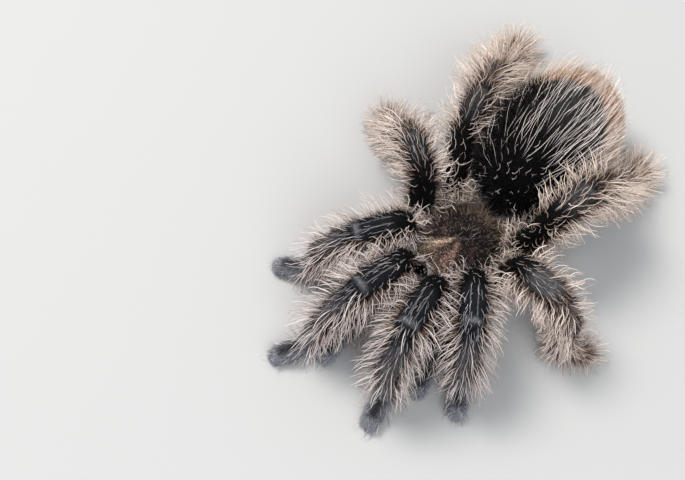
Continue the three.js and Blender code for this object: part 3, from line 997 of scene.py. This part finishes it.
BRISTLE["tarsus"]["steps"] = 4
UNDERCOAT.update(thick=(0.12, 0.17), steps=2, stray=0.35)
STRAY_CURL.update(thick=(0.10, 0.15), steps=5, stray=0.15)
REAR_CURL = dict(STRAY_CURL, density=0.36, length=(2.4, 5.0), lean=(30, 68))
REAR_CURL.update(curl=(0.4, 0.9), thick=(0.15, 0.21))
for kind in FUR.values():
    kind.update(thick=(0.12, 0.17), steps=1, stray=0.14, lean=(46, 72))
for look in ("metatarsus", "tarsus"):
    FUR[look].update(thick=(0.10, 0.14), lean=(34, 60))

# how much curlier the hair of the upper leg is, by pair of limbs
CURLINESS = {"palp": 1.0, "leg_1": 1.0, "leg_2": 1.1, "leg_3": 1.3, "leg_4": 1.7}
# how far the hair of each hind foot stands out
FOOT_FLUFF = {"right_leg_3": 1.2, "left_leg_3": 0.88, "right_leg_4": 1.4, "left_leg_4": 1.32}
# how far round each knee its bare plate goes, in radians, if not 1.4
PLATE_REACH = {"right_leg_2": 1.15, "right_leg_3": 0.8, "right_leg_4": 1.1}


def bristle_share(segment, t, theta):
    """How thickly the bristles grow at a place: full at the sides, sparse along the back."""
    look = segment.look
    thin = 0.75 if segment.limb == "left_leg_1" else 1.0
    plate = np.exp(-((theta / PLATE_REACH.get(segment.limb, 1.4)) ** 6))
    if look == "patella":
        return (1 - (0.85 if segment.pair == "leg_4" else 0.98) * plate) * smooth_step(-0.25, 0.05, t)
    if look == "tibia":
        narrow = np.exp(-((theta / 0.8) ** 4))
        return thin * (1 - 0.92 * narrow * (1 - 0.5 * smooth_step(0.5, 0.9, t)))
    if look == "hind_tibia":
        knee = 0.85 * plate * (1 - smooth_step(0.05, 0.4, t))
        bare = np.maximum(knee, 0.15 * np.exp(-((theta / 0.7) ** 4)))
        return (1 - bare) * (1 - joint_spot(look, t, theta))
    if look == "hind_metatarsus":
        return 1 - joint_spot(look, t, theta)
    if look == "femur":
        wide = np.exp(-((theta / (1.8 if segment.pair in ("leg_3", "leg_4") else 1.5)) ** 8))
        return 1 - 0.97 * wide * smooth_step(0.28, 0.5, t)
    if look == "metatarsus":
        return thin - (0.4 if segment.limb == "left_leg_2" else 0.9) * np.exp(-((theta / 1.2) ** 4))
    if look == "tarsus":
        return 1 - 0.75 * smooth_step(0.3, 0.7, t)
    return np.ones_like(t)


def undercoat_share(segment, t, theta):
    look = segment.look
    sides = smooth_step(0.9, 1.4, np.abs(theta))
    if look == "femur":
        return np.maximum(sides, 1 - smooth_step(0.25, 0.45, t))
    if look.startswith("hind"):
        return 0.6 * (1 - joint_spot(look, t, theta))
    if look == "coxa":
        return np.ones_like(t)
    return sides * (0.35 if look == "metatarsus" else 0.0 if look == "tarsus" else 1.0)


def stray_share(segment, t, theta):
    look = segment.look
    back = (np.abs(theta) < 1.3).astype(float)
    if look == "femur":
        return back if segment.pair == "leg_4" else 0.25 * back
    if look == "patella" and segment.pair in ("leg_1", "leg_2", "palp"):
        return 0.6 * back
    return back if look in ("patella", "tibia", "hind_tibia", "metatarsus") else np.zeros_like(t)


def full_share(segment, t, theta):
    return np.ones_like(t)


# %% Even places over a stretch of limb
DOME_HEIGHT = 0.55  # of a dome past a joint, in radii


def places_on(segment, density, share, rng):
    """Even places over a stretch and its domes, thinned where share says so: t, theta, roots, normals."""
    past = DOME_HEIGHT * segment.radius(0.5)
    count = int(2 * math.pi * segment.radius(0.5) * (segment.length + 2 * past) * density)
    order = np.arange(count)
    reach = (order + rng.uniform(0, 1, count)) / max(count, 1) * (segment.length + 2 * past) - past
    theta = (order * GOLDEN + rng.normal(0, 0.12, count) + math.pi) % (2 * math.pi) - math.pi
    t = reach / segment.length
    keep = rng.uniform(0, 1, count) < share(segment, t, theta)
    t, theta, reach = t[keep], theta[keep], reach[keep]
    on_line = np.clip(reach, 0, segment.length)
    rise = np.clip((reach - on_line) / past, -1, 1)
    ring = np.sqrt(1 - rise**2)
    spoke = np.cos(theta)[:, None] * segment.back + np.sin(theta)[:, None] * segment.across
    radius = segment.radius(np.clip(t, 0, 1))
    points = segment.start + reach[:, None] * segment.along + (radius * ring)[:, None] * spoke
    outward = unit(ring[:, None] * spoke + (rise / DOME_HEIGHT)[:, None] * segment.along)
    roots, normals, kept = settle(points, outward)
    return t[kept], theta[kept], roots[kept], normals[kept]


# %% The colours of each layer, from root to tip
# how light the tips of the bristles are, 0.75 on the other limbs: painted light, the differences between
# limbs standing for how brightly each limb is lit
PAINTED_LIMB_LIGHT = {"right_leg_1": 0.85, "right_leg_2": 0.88, "right_leg_3": 0.92, "right_leg_4": 0.92}
PAINTED_LIMB_LIGHT.update(left_leg_3=0.95, left_leg_4=0.95)
WARMTH = {"palp": 0.1, "leg_1": 0.1, "leg_2": 0.2, "leg_3": 0.4, "leg_4": 0.8}


def bristle_colours(segment, t, theta, rng):
    n = len(t)
    hind_foot = segment.look in ("hind_tarsus", "hind_metatarsus")
    shade = shades(0.66, 1.2, n, rng)
    # painted light: the hairs of the hind feet are never drawn dim
    if hind_foot:
        shade = np.maximum(shade, 0.9)
    grey = {"tarsus": 0.6, "metatarsus": 0.45, "tibia": 0.15}.get(segment.look, 0.05)
    grey = grey * (0.4 + 0.6 * np.exp(-(theta**2)))
    # painted light: lighter roots on the feet of the fourth legs, and pale roots on every hind tarsus but the
    # left third leg's
    painted_root_light = 1.1 if hind_foot and segment.pair == "leg_4" else 0.6
    root = mix(RUST, TAN, 0.4 + 0.6 * rng.uniform(0, 1, n)) * painted_root_light
    if segment.look == "hind_tarsus" and segment.limb != "left_leg_3":
        root = mix(TAN, CREAM, rng.uniform(0.1, 0.7, n)) * 0.85
    tip = mix(mix(PEARL, CREAM, WARMTH[segment.pair] * np.ones(n)), TAN, rng.uniform(0, 0.4, n))
    tip = mix(tip, SILVER * 1.15, grey) * PAINTED_LIMB_LIGHT.get(segment.limb, 0.75)
    # painted light: brighter tips on the tarsi of the fourth legs
    if segment.look == "hind_tarsus" and segment.pair == "leg_4":
        tip = tip * 1.1
    return mix(root, ASH * 1.6, grey) * shade, tip * shade


# how much of the undercoat is dark, by segment and then for each hind foot. The dark hairs are partly the
# animal's own short dark hair and partly painted shade in the gaps between the long hairs; the share on each
# hind foot is painted shade, most on the left third leg and least on the fourth legs
DARK_SHARE = {"femur": 0.7, "hind_tibia": 0.5}
FOOT_PAINTED_SHADE = {"left_leg_3": 0.85, "right_leg_3": 0.3, "right_leg_4": 0.05, "left_leg_4": 0.05}


def undercoat_colours(segment, t, theta, rng):
    n = len(t)
    shade = shades(0.5, 1.1, n, rng)
    share = DARK_SHARE.get(segment.look, 0.6)
    if segment.look in ("hind_metatarsus", "hind_tarsus"):
        share = FOOT_PAINTED_SHADE[segment.limb]
    dark = (rng.uniform(0, 1, n) < share)[:, None]
    warm = mix(RUST, TAN, rng.uniform(0.2, 1, n))
    return np.where(dark, BLACK * 1.5, warm * 0.4) * shade, np.where(dark, BRONZE * 0.7, warm) * shade


def stray_colours(segment, t, theta, rng):
    shade = shades(0.6, 1.05, len(t), rng)
    if segment.pair in ("leg_3", "leg_4"):
        return UMBER * 0.6 * shade, mix(PEARL, TAN, rng.uniform(0.2, 1, len(t))) * 0.95 * shade
    return SILVER * 0.4 * shade, mix(PEARL, SILVER, rng.uniform(0.2, 1, len(t))) * 0.75 * shade


def fur_colours(segment, t, theta, rng):
    beside = np.abs(np.abs(np.sin(theta) * segment.radius(np.clip(t, 0, 1))) - STRIPE_APART)
    stripe = stripe_share(segment.part, t, theta) * (beside < STRIPE_WIDTH)
    tone = mix(limb_tone(segment.look, segment.limb, t, theta), STRIPE, 0.8 * stripe)
    tone = tone * shades(0.45, 1.7, len(t), rng)
    return tone * 0.5, tone * 1.6


# %% How the long hair is combed
PARTING = 2.2  # how strongly the hair of a hind foot is combed off the middle of its back


def combed(kind, segment, t, theta):
    """The kind with its leans, and the way it lies: to the foot, but parted along the back of a hind foot."""
    if segment.look not in ("hind_tibia", "hind_metatarsus"):
        return kind, segment.along
    parted = np.exp(-((theta / 0.95) ** 4))
    if segment.look == "hind_metatarsus":
        parted *= 1 - smooth_step(0.35, 0.6, t)
    aside = (PARTING * parted * np.sign(theta))[:, None] * segment.across
    upright, laid = kind["lean"]
    return dict(kind, lean=(upright + 26 * parted, laid + 18 * parted)), segment.along + aside


def curliness(segment, theta):
    """Curlier on the upper leg, and on the side of a rear leg that faces the abdomen."""
    if segment.look in ("femur", "patella"):
        return CURLINESS[segment.pair]
    if segment.look == "coxa" and segment.pair == "leg_4":
        return 0.5
    if segment.look == "hind_tibia" and segment.pair == "leg_4":
        inward = segment.across[0] * segment.start[0] < 0
        return 1 + 1.3 * smooth_step(0.2, 0.9, theta if inward else -theta)
    return 1.0


# %% Dress the limbs
CURLS = dict.fromkeys(BRISTLE, STRAY_CURL)
LAYERS = (
    (BRISTLE, bristle_share, bristle_colours),
    (dict.fromkeys(BRISTLE, UNDERCOAT), undercoat_share, undercoat_colours),
    (CURLS, stray_share, stray_colours),
    (FUR, full_share, fur_colours),
)
FIRST_SEED = 100
coat_triangles = 0
for number, (limb, chain) in enumerate(limbs.items()):
    rng = np.random.default_rng(FIRST_SEED + number)
    coat = Coat(f"coat_{limb}")
    for column, segment in enumerate(chain):
        for row, (kinds, share, colours) in enumerate(LAYERS):
            kind = REAR_CURL if kinds is CURLS and segment.pair == "leg_4" else kinds[segment.look]
            t, theta, roots, normals = places_on(segment, kind["density"], share, rng)
            u = (column + 0.05 + 0.9 * (np.clip(t, -0.3, 1.3) + 0.3) / 1.6) / len(chain)
            uv = np.c_[u, (row + 0.02 + 0.94 * (theta / (2 * math.pi) + 0.5)) / len(LAYERS)]
            size = 1.0
            curly = 1.0
            heading = segment.along
            if kinds is BRISTLE:
                curly = curliness(segment, theta)
                kind, heading = combed(kind, segment, t, theta)
            if segment.pair == "leg_4" and segment.part == "coxa":
                size = 1.25
            elif kinds is not FUR:
                fluff = FOOT_FLUFF.get(limb, 1.0) if "hind" in segment.look else 1.0
                size = 0.8 if segment.pair == "palp" else fluff
            both_colours = colours(segment, t, theta, rng)
            spare = clear_of_eyes if kinds is FUR else clear_of_shield
            plant(coat, kind, roots, normals, heading, uv, both_colours, rng, size, spare, curly)
    coat_triangles += coat.build()

# %% [markdown]
# ## The coat of the abdomen
# The abdomen is black velvet with long pale hairs laid back over it, thin on top and thick on the
# flanks and round the rear, over a rusty rim. Places are spread evenly over an egg by the golden
# angle, which leaves no rows.


# %% Even places over a rounded form
def places_over(part, count, turned, rng):
    order = np.arange(count) + rng.uniform(0, 1, count)
    z = 1 - 2 * order / count
    turn = np.arange(count) * GOLDEN
    ring = np.sqrt(np.maximum(0, 1 - z * z))
    direction = np.c_[ring * np.cos(turn), z, ring * np.sin(turn)]
    points = direction * np.array(part["half"]) + np.array(part["centre"])
    outward = unit(direction / np.array(part["half"]))
    if turned:
        points, outward = turn_head(points), outward @ HEAD_AXES
    return direction, points + SHIFT, outward


def root_over(part, count, share, rng, most_off=4.0, turned=False):
    """Direction from the middle of the form, root and normal of each hair kept."""
    direction, points, outward = places_over(part, count, turned, rng)
    keep = rng.uniform(0, 1, count) < share(direction)
    direction, points, outward = direction[keep], points[keep], outward[keep]
    roots, normals, kept = settle(points, outward, most_off, most_off)
    return direction[kept], roots[kept], normals[kept]


def form_uv(direction, low_edge, high_edge):
    u = np.arctan2(direction[:, 0], direction[:, 2]) / (2 * math.pi) + 0.5
    v = (direction[:, 1] + 1) / 2
    return np.c_[0.01 + 0.97 * u, low_edge + (high_edge - low_edge - 0.01) * v]


def everywhere(direction):
    return np.ones(len(direction))


def full_size(direction):
    return 1.0


def rearward(roots):
    return np.array([0.0, 1.0, 0.12])


def cover(coat, kind, form, count, share, band, paint, rng, size=full_size, way=rearward, most_off=4.0):
    """Plants hair over a rounded form. share thins it, paint colours it, band is its part of the bake map."""
    direction, roots, normals = root_over(form, count, share, rng, most_off, form is CAPUT)
    colours = paint(direction, roots, rng)
    uv = form_uv(direction, *band)
    plant(coat, kind, roots, normals, way(roots), uv, colours, rng, size(direction))


# %% Long hair of the abdomen
ABDOMEN_LONG = dict(length=(6.5, 11.5), lean=(60, 83), thick=(0.09, 0.125), steps=7)
ABDOMEN_LONG.update(curl=(0.15, 0.45), turns=(0.6, 1.5))
ABDOMEN_CURL = dict(length=(2.0, 3.6), lean=(30, 80), thick=(0.11, 0.15), steps=7)
ABDOMEN_CURL.update(curl=(0.3, 0.7), turns=(0.6, 1.3))
ABDOMEN_UNDER = dict(length=(2.0, 3.8), lean=(25, 58), thick=(0.12, 0.17), steps=3)
ABDOMEN_UNDER.update(curl=(0.1, 0.3), turns=(0.3, 0.8))
ABDOMEN_FRONT = dict(length=(2.0, 3.8), lean=(4, 30), thick=(0.12, 0.17), steps=2, stray=0.2)
ABDOMEN_FLANK = dict(length=(2.4, 4.6), lean=(4, 36), thick=(0.13, 0.18), steps=2)
ABDOMEN_FLANK.update(curl=(0.1, 0.3), turns=(0.4, 1.0))
ABDOMEN_VELVET = dict(length=(0.8, 1.5), lean=(44, 72), thick=(0.12, 0.18), steps=1)
LEFT_REAR = np.array([0.75, 0.66, 0.0])


def abdomen_long_share(direction):
    x, y, z = direction.T
    edge = smooth_step(0.72, 0.98, np.hypot(x, 1.2 * np.maximum(y, 0.0)))
    flank = 0.19 + 0.75 * edge * smooth_step(-0.45, 0.1, y)
    return flank * np.where(z < -0.7, 0.2, 1.0) * smooth_step(-0.95, -0.4, y) * (1 - 0.7 * beside_leg(x, y))


def abdomen_curl_share(direction):
    return 0.3 * smooth_step(0.35, 0.9, -direction[:, 1]) * (direction[:, 2] > -0.3)


def abdomen_under_share(direction):
    x, y, _ = direction.T
    return abdomen_edge(x, y) * smooth_step(-0.3, 0.2, y) * (1 - 0.9 * beside_leg(x, y))


def abdomen_front_share(direction):
    return smooth_step(0.45, 0.8, -direction[:, 1])


def abdomen_flank_share(direction):
    x, y, _ = direction.T
    return beside_leg(x, y) * smooth_step(-0.95, -0.75, y)


def abdomen_long_size(direction):
    """Shorter at the rear, and combed closer at its left corner."""
    corner = smooth_step(0.6, 0.95, direction @ LEFT_REAR)
    return (1.0 - 0.35 * smooth_step(0.55, 0.95, direction[:, 1])) * (1.0 - 0.45 * corner)


def abdomen_long_colours(direction, roots, rng):
    on_back = 1 - abdomen_edge(direction[:, 0], direction[:, 1])
    rusty = smooth_step(0.3, 0.8, direction[:, 1]) * (1 - on_back)
    shade = shades(0.66, 1.15, len(roots), rng)
    root = mix(mix(TAN, SILVER * 0.5, on_back), ORANGE, rusty) * 0.8
    tip = mix(mix(CREAM, TAN, rng.uniform(0, 0.35, len(roots))), SILVER * 1.3, 0.35 * on_back)
    return root * shade, tip * (1 + 0.2 * on_back[:, None]) * shade


def abdomen_curl_colours(direction, roots, rng):
    shade = shades(0.4, 0.95, len(roots), rng)
    return SILVER * 0.3 * shade, PEARL * shade


def abdomen_under_colours(direction, roots, rng):
    shade = shades(0.6, 1.15, len(roots), rng)
    rear = smooth_step(0.15, 0.5, direction[:, 1])
    tip = mix(TAN, ORANGE, rear * rng.uniform(0.3, 1, len(roots))) * 1.15
    return mix(RUST, ORANGE, 0.6 * rear) * shade, tip * shade


def black_colours(direction, roots, rng):
    shade = shades(0.6, 1.8, len(roots), rng)
    return BLACK * shade, BLACK * 2 * shade


def abdomen_velvet_colours(direction, roots, rng):
    colour = abdomen_tone(roots) * shades(0.5, 1.6, len(roots), rng)
    return colour * 0.7, colour * 1.7


# kind, places, how thickly it grows, its band of the bake map, its colours
ABDOMEN_LAYERS = (
    (ABDOMEN_LONG, 6400, abdomen_long_share, (0.0, 0.4), abdomen_long_colours),
    (ABDOMEN_CURL, 1500, abdomen_curl_share, (0.0, 0.4), abdomen_curl_colours),
    (ABDOMEN_UNDER, 9000, abdomen_under_share, (0.4, 0.8), abdomen_under_colours),
    (ABDOMEN_FRONT, 6000, abdomen_front_share, (0.8, 0.9), black_colours),
    (ABDOMEN_FLANK, 12000, abdomen_flank_share, (0.9, 1.0), black_colours),
)
ABDOMEN_SEED = 7
rng = np.random.default_rng(ABDOMEN_SEED)
coat = Coat("coat_abdomen")
for kind, count, share, band, paint in ABDOMEN_LAYERS:
    size = abdomen_long_size if kind is ABDOMEN_LONG else full_size
    cover(coat, kind, ABDOMEN, count, share, band, paint, rng, size)
coat_triangles += coat.build()

# %% Velvet of the abdomen
coat = Coat("velvet_abdomen")
cover(coat, ABDOMEN_VELVET, ABDOMEN, 30000, everywhere, (0.0, 1.0), abdomen_velvet_colours, rng)
coat_triangles += coat.build()

# %% [markdown]
# ## The coat of the head
# The carapace wears short bronze velvet that runs outwards from its groove, a pale fringe along
# its rim, a few grey hairs in the groove, curved hairs round the eyes, and stiffer hair in front
# that hangs over the jaws.

# %% Velvet of the carapace
HEAD_SEED = 11
rng = np.random.default_rng(HEAD_SEED)
coat = Coat("coat_head")
HEAD_VELVET = dict(length=(0.5, 1.2), lean=(30, 66), thick=(0.11, 0.16), steps=1, stray=0.75)


def from_groove(roots):
    return unit(roots - FOVEA)


ON_SHIELD = dict(way=from_groove, most_off=1.2)


def upper_share(direction):
    return (direction[:, 2] > 0.0).astype(float)


def head_velvet_colours(direction, roots, rng):
    n = len(roots)
    colour = carapace_tone(roots) * shades(0.05, 2.1, n, rng)
    pale = (rng.uniform(0, 1, n) < 0.06 + 0.26 * mottle(roots, 0.9))[:, None]
    return colour * 0.35, np.where(pale, mix(BAND, SILVER, rng.uniform(0, 0.6, n)), colour * 1.9)


for form, count, band in ((CARAPACE, 22000, (0.0, 0.3)), (CAPUT, 9000, (0.3, 0.5))):
    cover(coat, HEAD_VELVET, form, count, upper_share, band, head_velvet_colours, rng, **ON_SHIELD)

# %% Longer fuzz towards the edge of the carapace
HEAD_FUZZ = dict(length=(1.6, 3.4), lean=(34, 70), curl=(0.1, 0.4), turns=(0.4, 1.0), thick=(0.11, 0.15))
HEAD_FUZZ.update(steps=4, stray=0.35)


def edge_share(direction):
    return smooth_step(0.55, 0.95, np.hypot(direction[:, 0], direction[:, 1])) * (direction[:, 2] > -0.1)


def head_fuzz_colours(direction, roots, rng):
    shade = shades(0.5, 1.1, len(roots), rng)
    rear = smooth_step(0.0, 0.6, direction[:, 1])
    tip = mix(TAN, PEARL, rng.uniform(0, 0.5, len(roots))) * 0.9
    return BRONZE * shade, mix(tip, UMBER, 0.8 * rear) * shade


cover(coat, HEAD_FUZZ, CARAPACE, 3600, edge_share, (0.0, 0.3), head_fuzz_colours, rng, **ON_SHIELD)

# %% Fringe of the carapace
RIM_HAIR = dict(length=(2.4, 5.0), lean=(0, 40), curl=(0.2, 0.6), turns=(0.5, 1.3), thick=(0.13, 0.18))
RIM_HAIR.update(steps=6, stray=0.3, hold=0.4, lock=4)
count = 3000
turn = np.arange(count) * GOLDEN
rim = np.c_[np.sin(turn) * 9.6, -np.cos(turn) * 11.0 + 0.3, rng.uniform(6.6, 9.6, count)] + SHIFT
outward = unit(np.c_[np.sin(turn) / 9.6, -np.cos(turn) / 11.0, np.full(count, 0.02)])
roots, normals, kept = settle(rim, outward, 1.5)
roots, normals, turn = roots[kept], normals[kept], turn[kept]
n = len(roots)
shade = shades(0.6, 1.1, n, rng)
uv = np.c_[(turn / (2 * math.pi)) % 1.0 * 0.98 + 0.005, rng.uniform(0.52, 0.7, n)]
rear = smooth_step(0.0, 0.6, -np.cos(turn))
colours = RUST * 0.5 * shade, mix(mix(PEARL, TAN, rng.uniform(0.0, 0.4, n)), UMBER, 0.85 * rear) * shade
size = 0.6 + 0.75 * mottle(roots, 2.0)
plant(coat, RIM_HAIR, roots, normals, UP, uv, colours, rng, size)


# %% Tufts of the groove, brow and jaws
def tuft(kind, form, count, heading, colours, band, rng):
    """Loose hairs over a small rounded place, all heading the same way."""
    direction, roots, normals = root_over(form, count, everywhere, rng, 1.6, True)
    shade = shades(0.7, 1.15, len(roots), rng)
    both_colours = (colours[0] * shade, colours[1] * shade)
    way = np.array(heading) @ HEAD_AXES
    plant(coat, kind, roots, normals, way, form_uv(direction, *band), both_colours, rng)


TUFT_HAIR = dict(lean=(25, 60), curl=(0.1, 0.35), turns=(0.4, 1.0), thick=(0.12, 0.17), steps=6, stray=0.25)
GROOVE = {"centre": (0.0, 3.0, 12.9), "half": (1.5, 1.8, 0.9)}
BROW = {"centre": (0.0, -7.0, 8.6), "half": (5.2, 4.8, 5.6)}
JAW_BANDS = {-1: (0.9, 1.0), 1: (0.8, 0.9)}
groove_hair = dict(TUFT_HAIR, length=(1.2, 2.7), curl=(0.2, 0.5), thick=(0.09, 0.12))
brow_hair = dict(TUFT_HAIR, length=(1.2, 2.4))
tuft(groove_hair, GROOVE, 45, (0.5, 1, 0), (SLATE, mix(SILVER, TAN, 0.3) * 0.6), (0.7, 0.74), rng)
tuft(brow_hair, BROW, 650, (0, -1, 0), (BAND * 0.5, mix(TAN, CREAM, 0.35)), (0.74, 0.8), rng)
for side, band in JAW_BANDS.items():
    jaw = {"centre": (side * 2.75, -14.0, 8.2), "half": (2.5, 6.8, 3.6)}
    jaw_hair = dict(TUFT_HAIR, length=(2.4, 4.4), lean=(30, 62))
    tuft(jaw_hair, jaw, 900, (0, -1, -0.4), (BAND * 0.5, mix(TAN, CREAM, 0.5)), band, rng)

# %% Curved hairs round the eyes
EYE_RING = dict(length=(1.8, 3.2), lean=(24, 76), curl=(0.05, 0.2), turns=(0.4, 0.8), thick=(0.13, 0.18))
EYE_RING.update(steps=7, stray=0.12)
count = 200
turn = np.arange(count) * 2 * math.pi / count + rng.uniform(-0.06, 0.06, count)
radius = rng.uniform(1.6, 2.5, count)
spoke = np.c_[np.sin(turn), np.cos(turn), np.zeros(count)]
ring = EYE_MIDDLE + spoke * radius[:, None] - [0.0, 0.0, 0.4]
roots, normals, kept = settle(ring, unit(spoke + [0.0, 0.0, 1.0]), 2.5, 2.5)
roots, normals, turn = roots[kept], normals[kept], turn[kept]
n = len(roots)
swirl = np.c_[np.cos(turn), -np.sin(turn), np.zeros(n)] * np.sign(np.sin(turn) + 1e-6)[:, None]
shade = shades(0.8, 1.1, n, rng)
uv = np.c_[turn / (2 * math.pi) * 0.9 + 0.05, np.full(n, 0.71) + 0.02 * rng.uniform(0, 1, n)]
colours = TAN * 0.6 * shade, mix(PEARL, SILVER, 0.5) * 1.15 * shade
plant(coat, EYE_RING, roots, normals, swirl, uv, colours, rng, spare=all_kept)
coat_triangles += coat.build()
print("coat triangles:", coat_triangles)

# %% [markdown]
# ## Eyes and fangs
# Eight small eyes sit on one low mound near the front of the head. The middle pair in front is round and
# dark, the others are pearly ovals whose pale colour is partly their own and partly a painted glint, and one
# glassy finish reads each eye's stored colour.
# The fangs fold back under the jaws and are hard, black and shiny.

# %% Eyes
def unit_sphere(segments_round, rings):
    deselect_all()
    bpy.ops.mesh.primitive_uv_sphere_add(segments=segments_round, ring_count=rings, radius=1.0)
    ball = bpy.context.object
    points = get_points(ball)
    faces = [tuple(polygon.vertices) for polygon in ball.data.polygons]
    bpy.data.objects.remove(ball)
    return points, faces


def shells_object(name, shells, faces):
    """Makes one object of closed shells with the same faces. Their points are for a head looking ahead."""
    points = [(turn_head(shell) + SHIFT) * MM for shell in shells]
    firsts = [k * len(shells[0]) for k in range(len(shells))]
    mesh = bpy.data.meshes.new(name)
    joined = [tuple(first + v for v in face) for first in firsts for face in faces]
    mesh.from_pydata(np.concatenate(points).tolist(), [], joined)
    obj = bpy.data.objects.new(name, mesh)
    bpy.context.scene.collection.objects.link(obj)
    activate(obj)
    return obj


EYES = (
    ((0.46, -0.55, 0.62), (0.33, 0.33, 0.33)),
    ((0.95, -0.80, 0.12), (0.22, 0.34, 0.26)),
    ((1.12, 0.12, 0.38), (0.24, 0.34, 0.28)),
    ((0.64, 0.24, 0.70), (0.22, 0.30, 0.24)),
)
eye_points, eye_faces = unit_sphere(20, 12)
shells, tones = [], []
for side in (-1, 1):
    for number, (place, half) in enumerate(EYES):
        centre = np.array(TUBERCLE["centre"]) + np.array(place) * [side, 1, 1]
        shells.append(eye_points * np.array(half) + centre)
        tones.append(np.tile(EYE_DARK if number == 0 else EYE_PEARL_GLINT, (len(eye_points), 1)))
eyes = shells_object("eyes", shells, eye_faces)
bpy.ops.object.shade_smooth()
store_colour(eyes.data, "marking", np.concatenate(tones))
eyes.data.materials.append(eye_finish())
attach(eyes, "root")
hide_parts("eye_tubercle")

# %% Fangs
FANG_LENGTH = 7.5
shells = []
horn_points, horn_faces = unit_sphere(16, 20)
for side in (-1, 1):
    s = (horn_points[:, 2] + 1) / 2
    root = np.array([side * 2.7, -17.0, 3.5])
    line = root + np.c_[-side * 0.5 * s**2, FANG_LENGTH * s, -0.9 * np.sin(math.pi * s * 0.8)]
    ring = np.sqrt(np.maximum(1 - horn_points[:, 2] ** 2, 0))
    width = 0.85 * (1 - s) ** 0.8 + 0.08
    spokes = horn_points[:, :2] / np.maximum(ring, 1e-9)[:, None]
    edge = np.minimum(ring * 3, 1)
    shells.append(line + np.c_[spokes[:, 0] * width * edge, 0 * s, spokes[:, 1] * width * edge])
fangs = shells_object("fangs", shells, horn_faces)
bpy.ops.object.mode_set(mode="EDIT")
bpy.ops.mesh.select_all(action="SELECT")
bpy.ops.mesh.normals_make_consistent(inside=False)
bpy.ops.object.mode_set(mode="OBJECT")
bpy.ops.object.shade_smooth()
fangs.data.materials.append(horn_finish())
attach(fangs, "root")
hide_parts("left_fang", "right_fang")

# %% [markdown]
# ## Stage, light and camera
# A pale floor, one broad soft light high on the animal's right and a weaker one opposite. The
# camera looks down on the head from the front left.

# %% Stage
FLOOR_SIZE = 3.0
FLOOR_COLOUR = (0.45, 0.445, 0.44, 1)
ROOM_COLOUR = (0.92, 0.96, 1.0, 1)
ROOM_LIGHT = 0.60
deselect_all()
bpy.ops.mesh.primitive_plane_add(size=FLOOR_SIZE, location=(0, 0, 0))
floor = bpy.context.object
floor.name = "floor"
material, tree, shader = new_material("pale_floor")
feed(tree, shader, {"Base Color": FLOOR_COLOUR, "Roughness": 0.9})
floor.data.materials.append(material)

world = bpy.data.worlds.new("soft_room")
bpy.context.scene.world = world
world.use_nodes = True
feed(world.node_tree, world.node_tree.nodes["Background"], {"Color": ROOM_COLOUR, "Strength": ROOM_LIGHT})


LIT_SPOT = Vector((0, 0, 0.01))


def soft_light(name, place, size, power, colour):
    """A round lamp, turned to the animal. Places and sizes are in metres and power in watts."""
    lamp = bpy.data.lights.new(name, "AREA")
    lamp.shape = "DISK"
    lamp.size = size
    lamp.energy = power
    lamp.color = colour
    obj = bpy.data.objects.new(name, lamp)
    obj.location = place
    obj.rotation_euler = (LIT_SPOT - Vector(place)).to_track_quat("-Z", "Y").to_euler()
    bpy.context.scene.collection.objects.link(obj)


soft_light("window", place=(-0.42, -0.02, 0.72), size=0.38, power=7.3, colour=(1.0, 0.98, 0.95))
soft_light("fill", place=(0.5, -0.35, 0.55), size=0.6, power=4.0, colour=(0.92, 0.96, 1.0))

bpy.context.scene.view_settings.view_transform = "Standard"

# %% Camera
AZIMUTH = math.radians(41.1)
ELEVATION = math.radians(62.6)
DISTANCE = 236.2
FOCAL_LENGTH = 57.8
aim = np.array([-19.6, -14.1, 10.0]) + SHIFT
backward = np.array(
    [
        math.sin(AZIMUTH) * math.cos(ELEVATION),
        -math.cos(AZIMUTH) * math.cos(ELEVATION),
        math.sin(ELEVATION),
    ]
)
camera_data = bpy.data.cameras.new("camera")
camera_data.lens = FOCAL_LENGTH
camera_data.sensor_width = 36.0
camera_data.clip_start = 0.01
camera = bpy.data.objects.new("camera", camera_data)
camera.location = Vector((aim + DISTANCE * backward) * MM)
camera.rotation_euler = Vector(-backward).to_track_quat("-Z", "Y").to_euler()
bpy.context.scene.collection.objects.link(camera)
bpy.context.scene.camera = camera
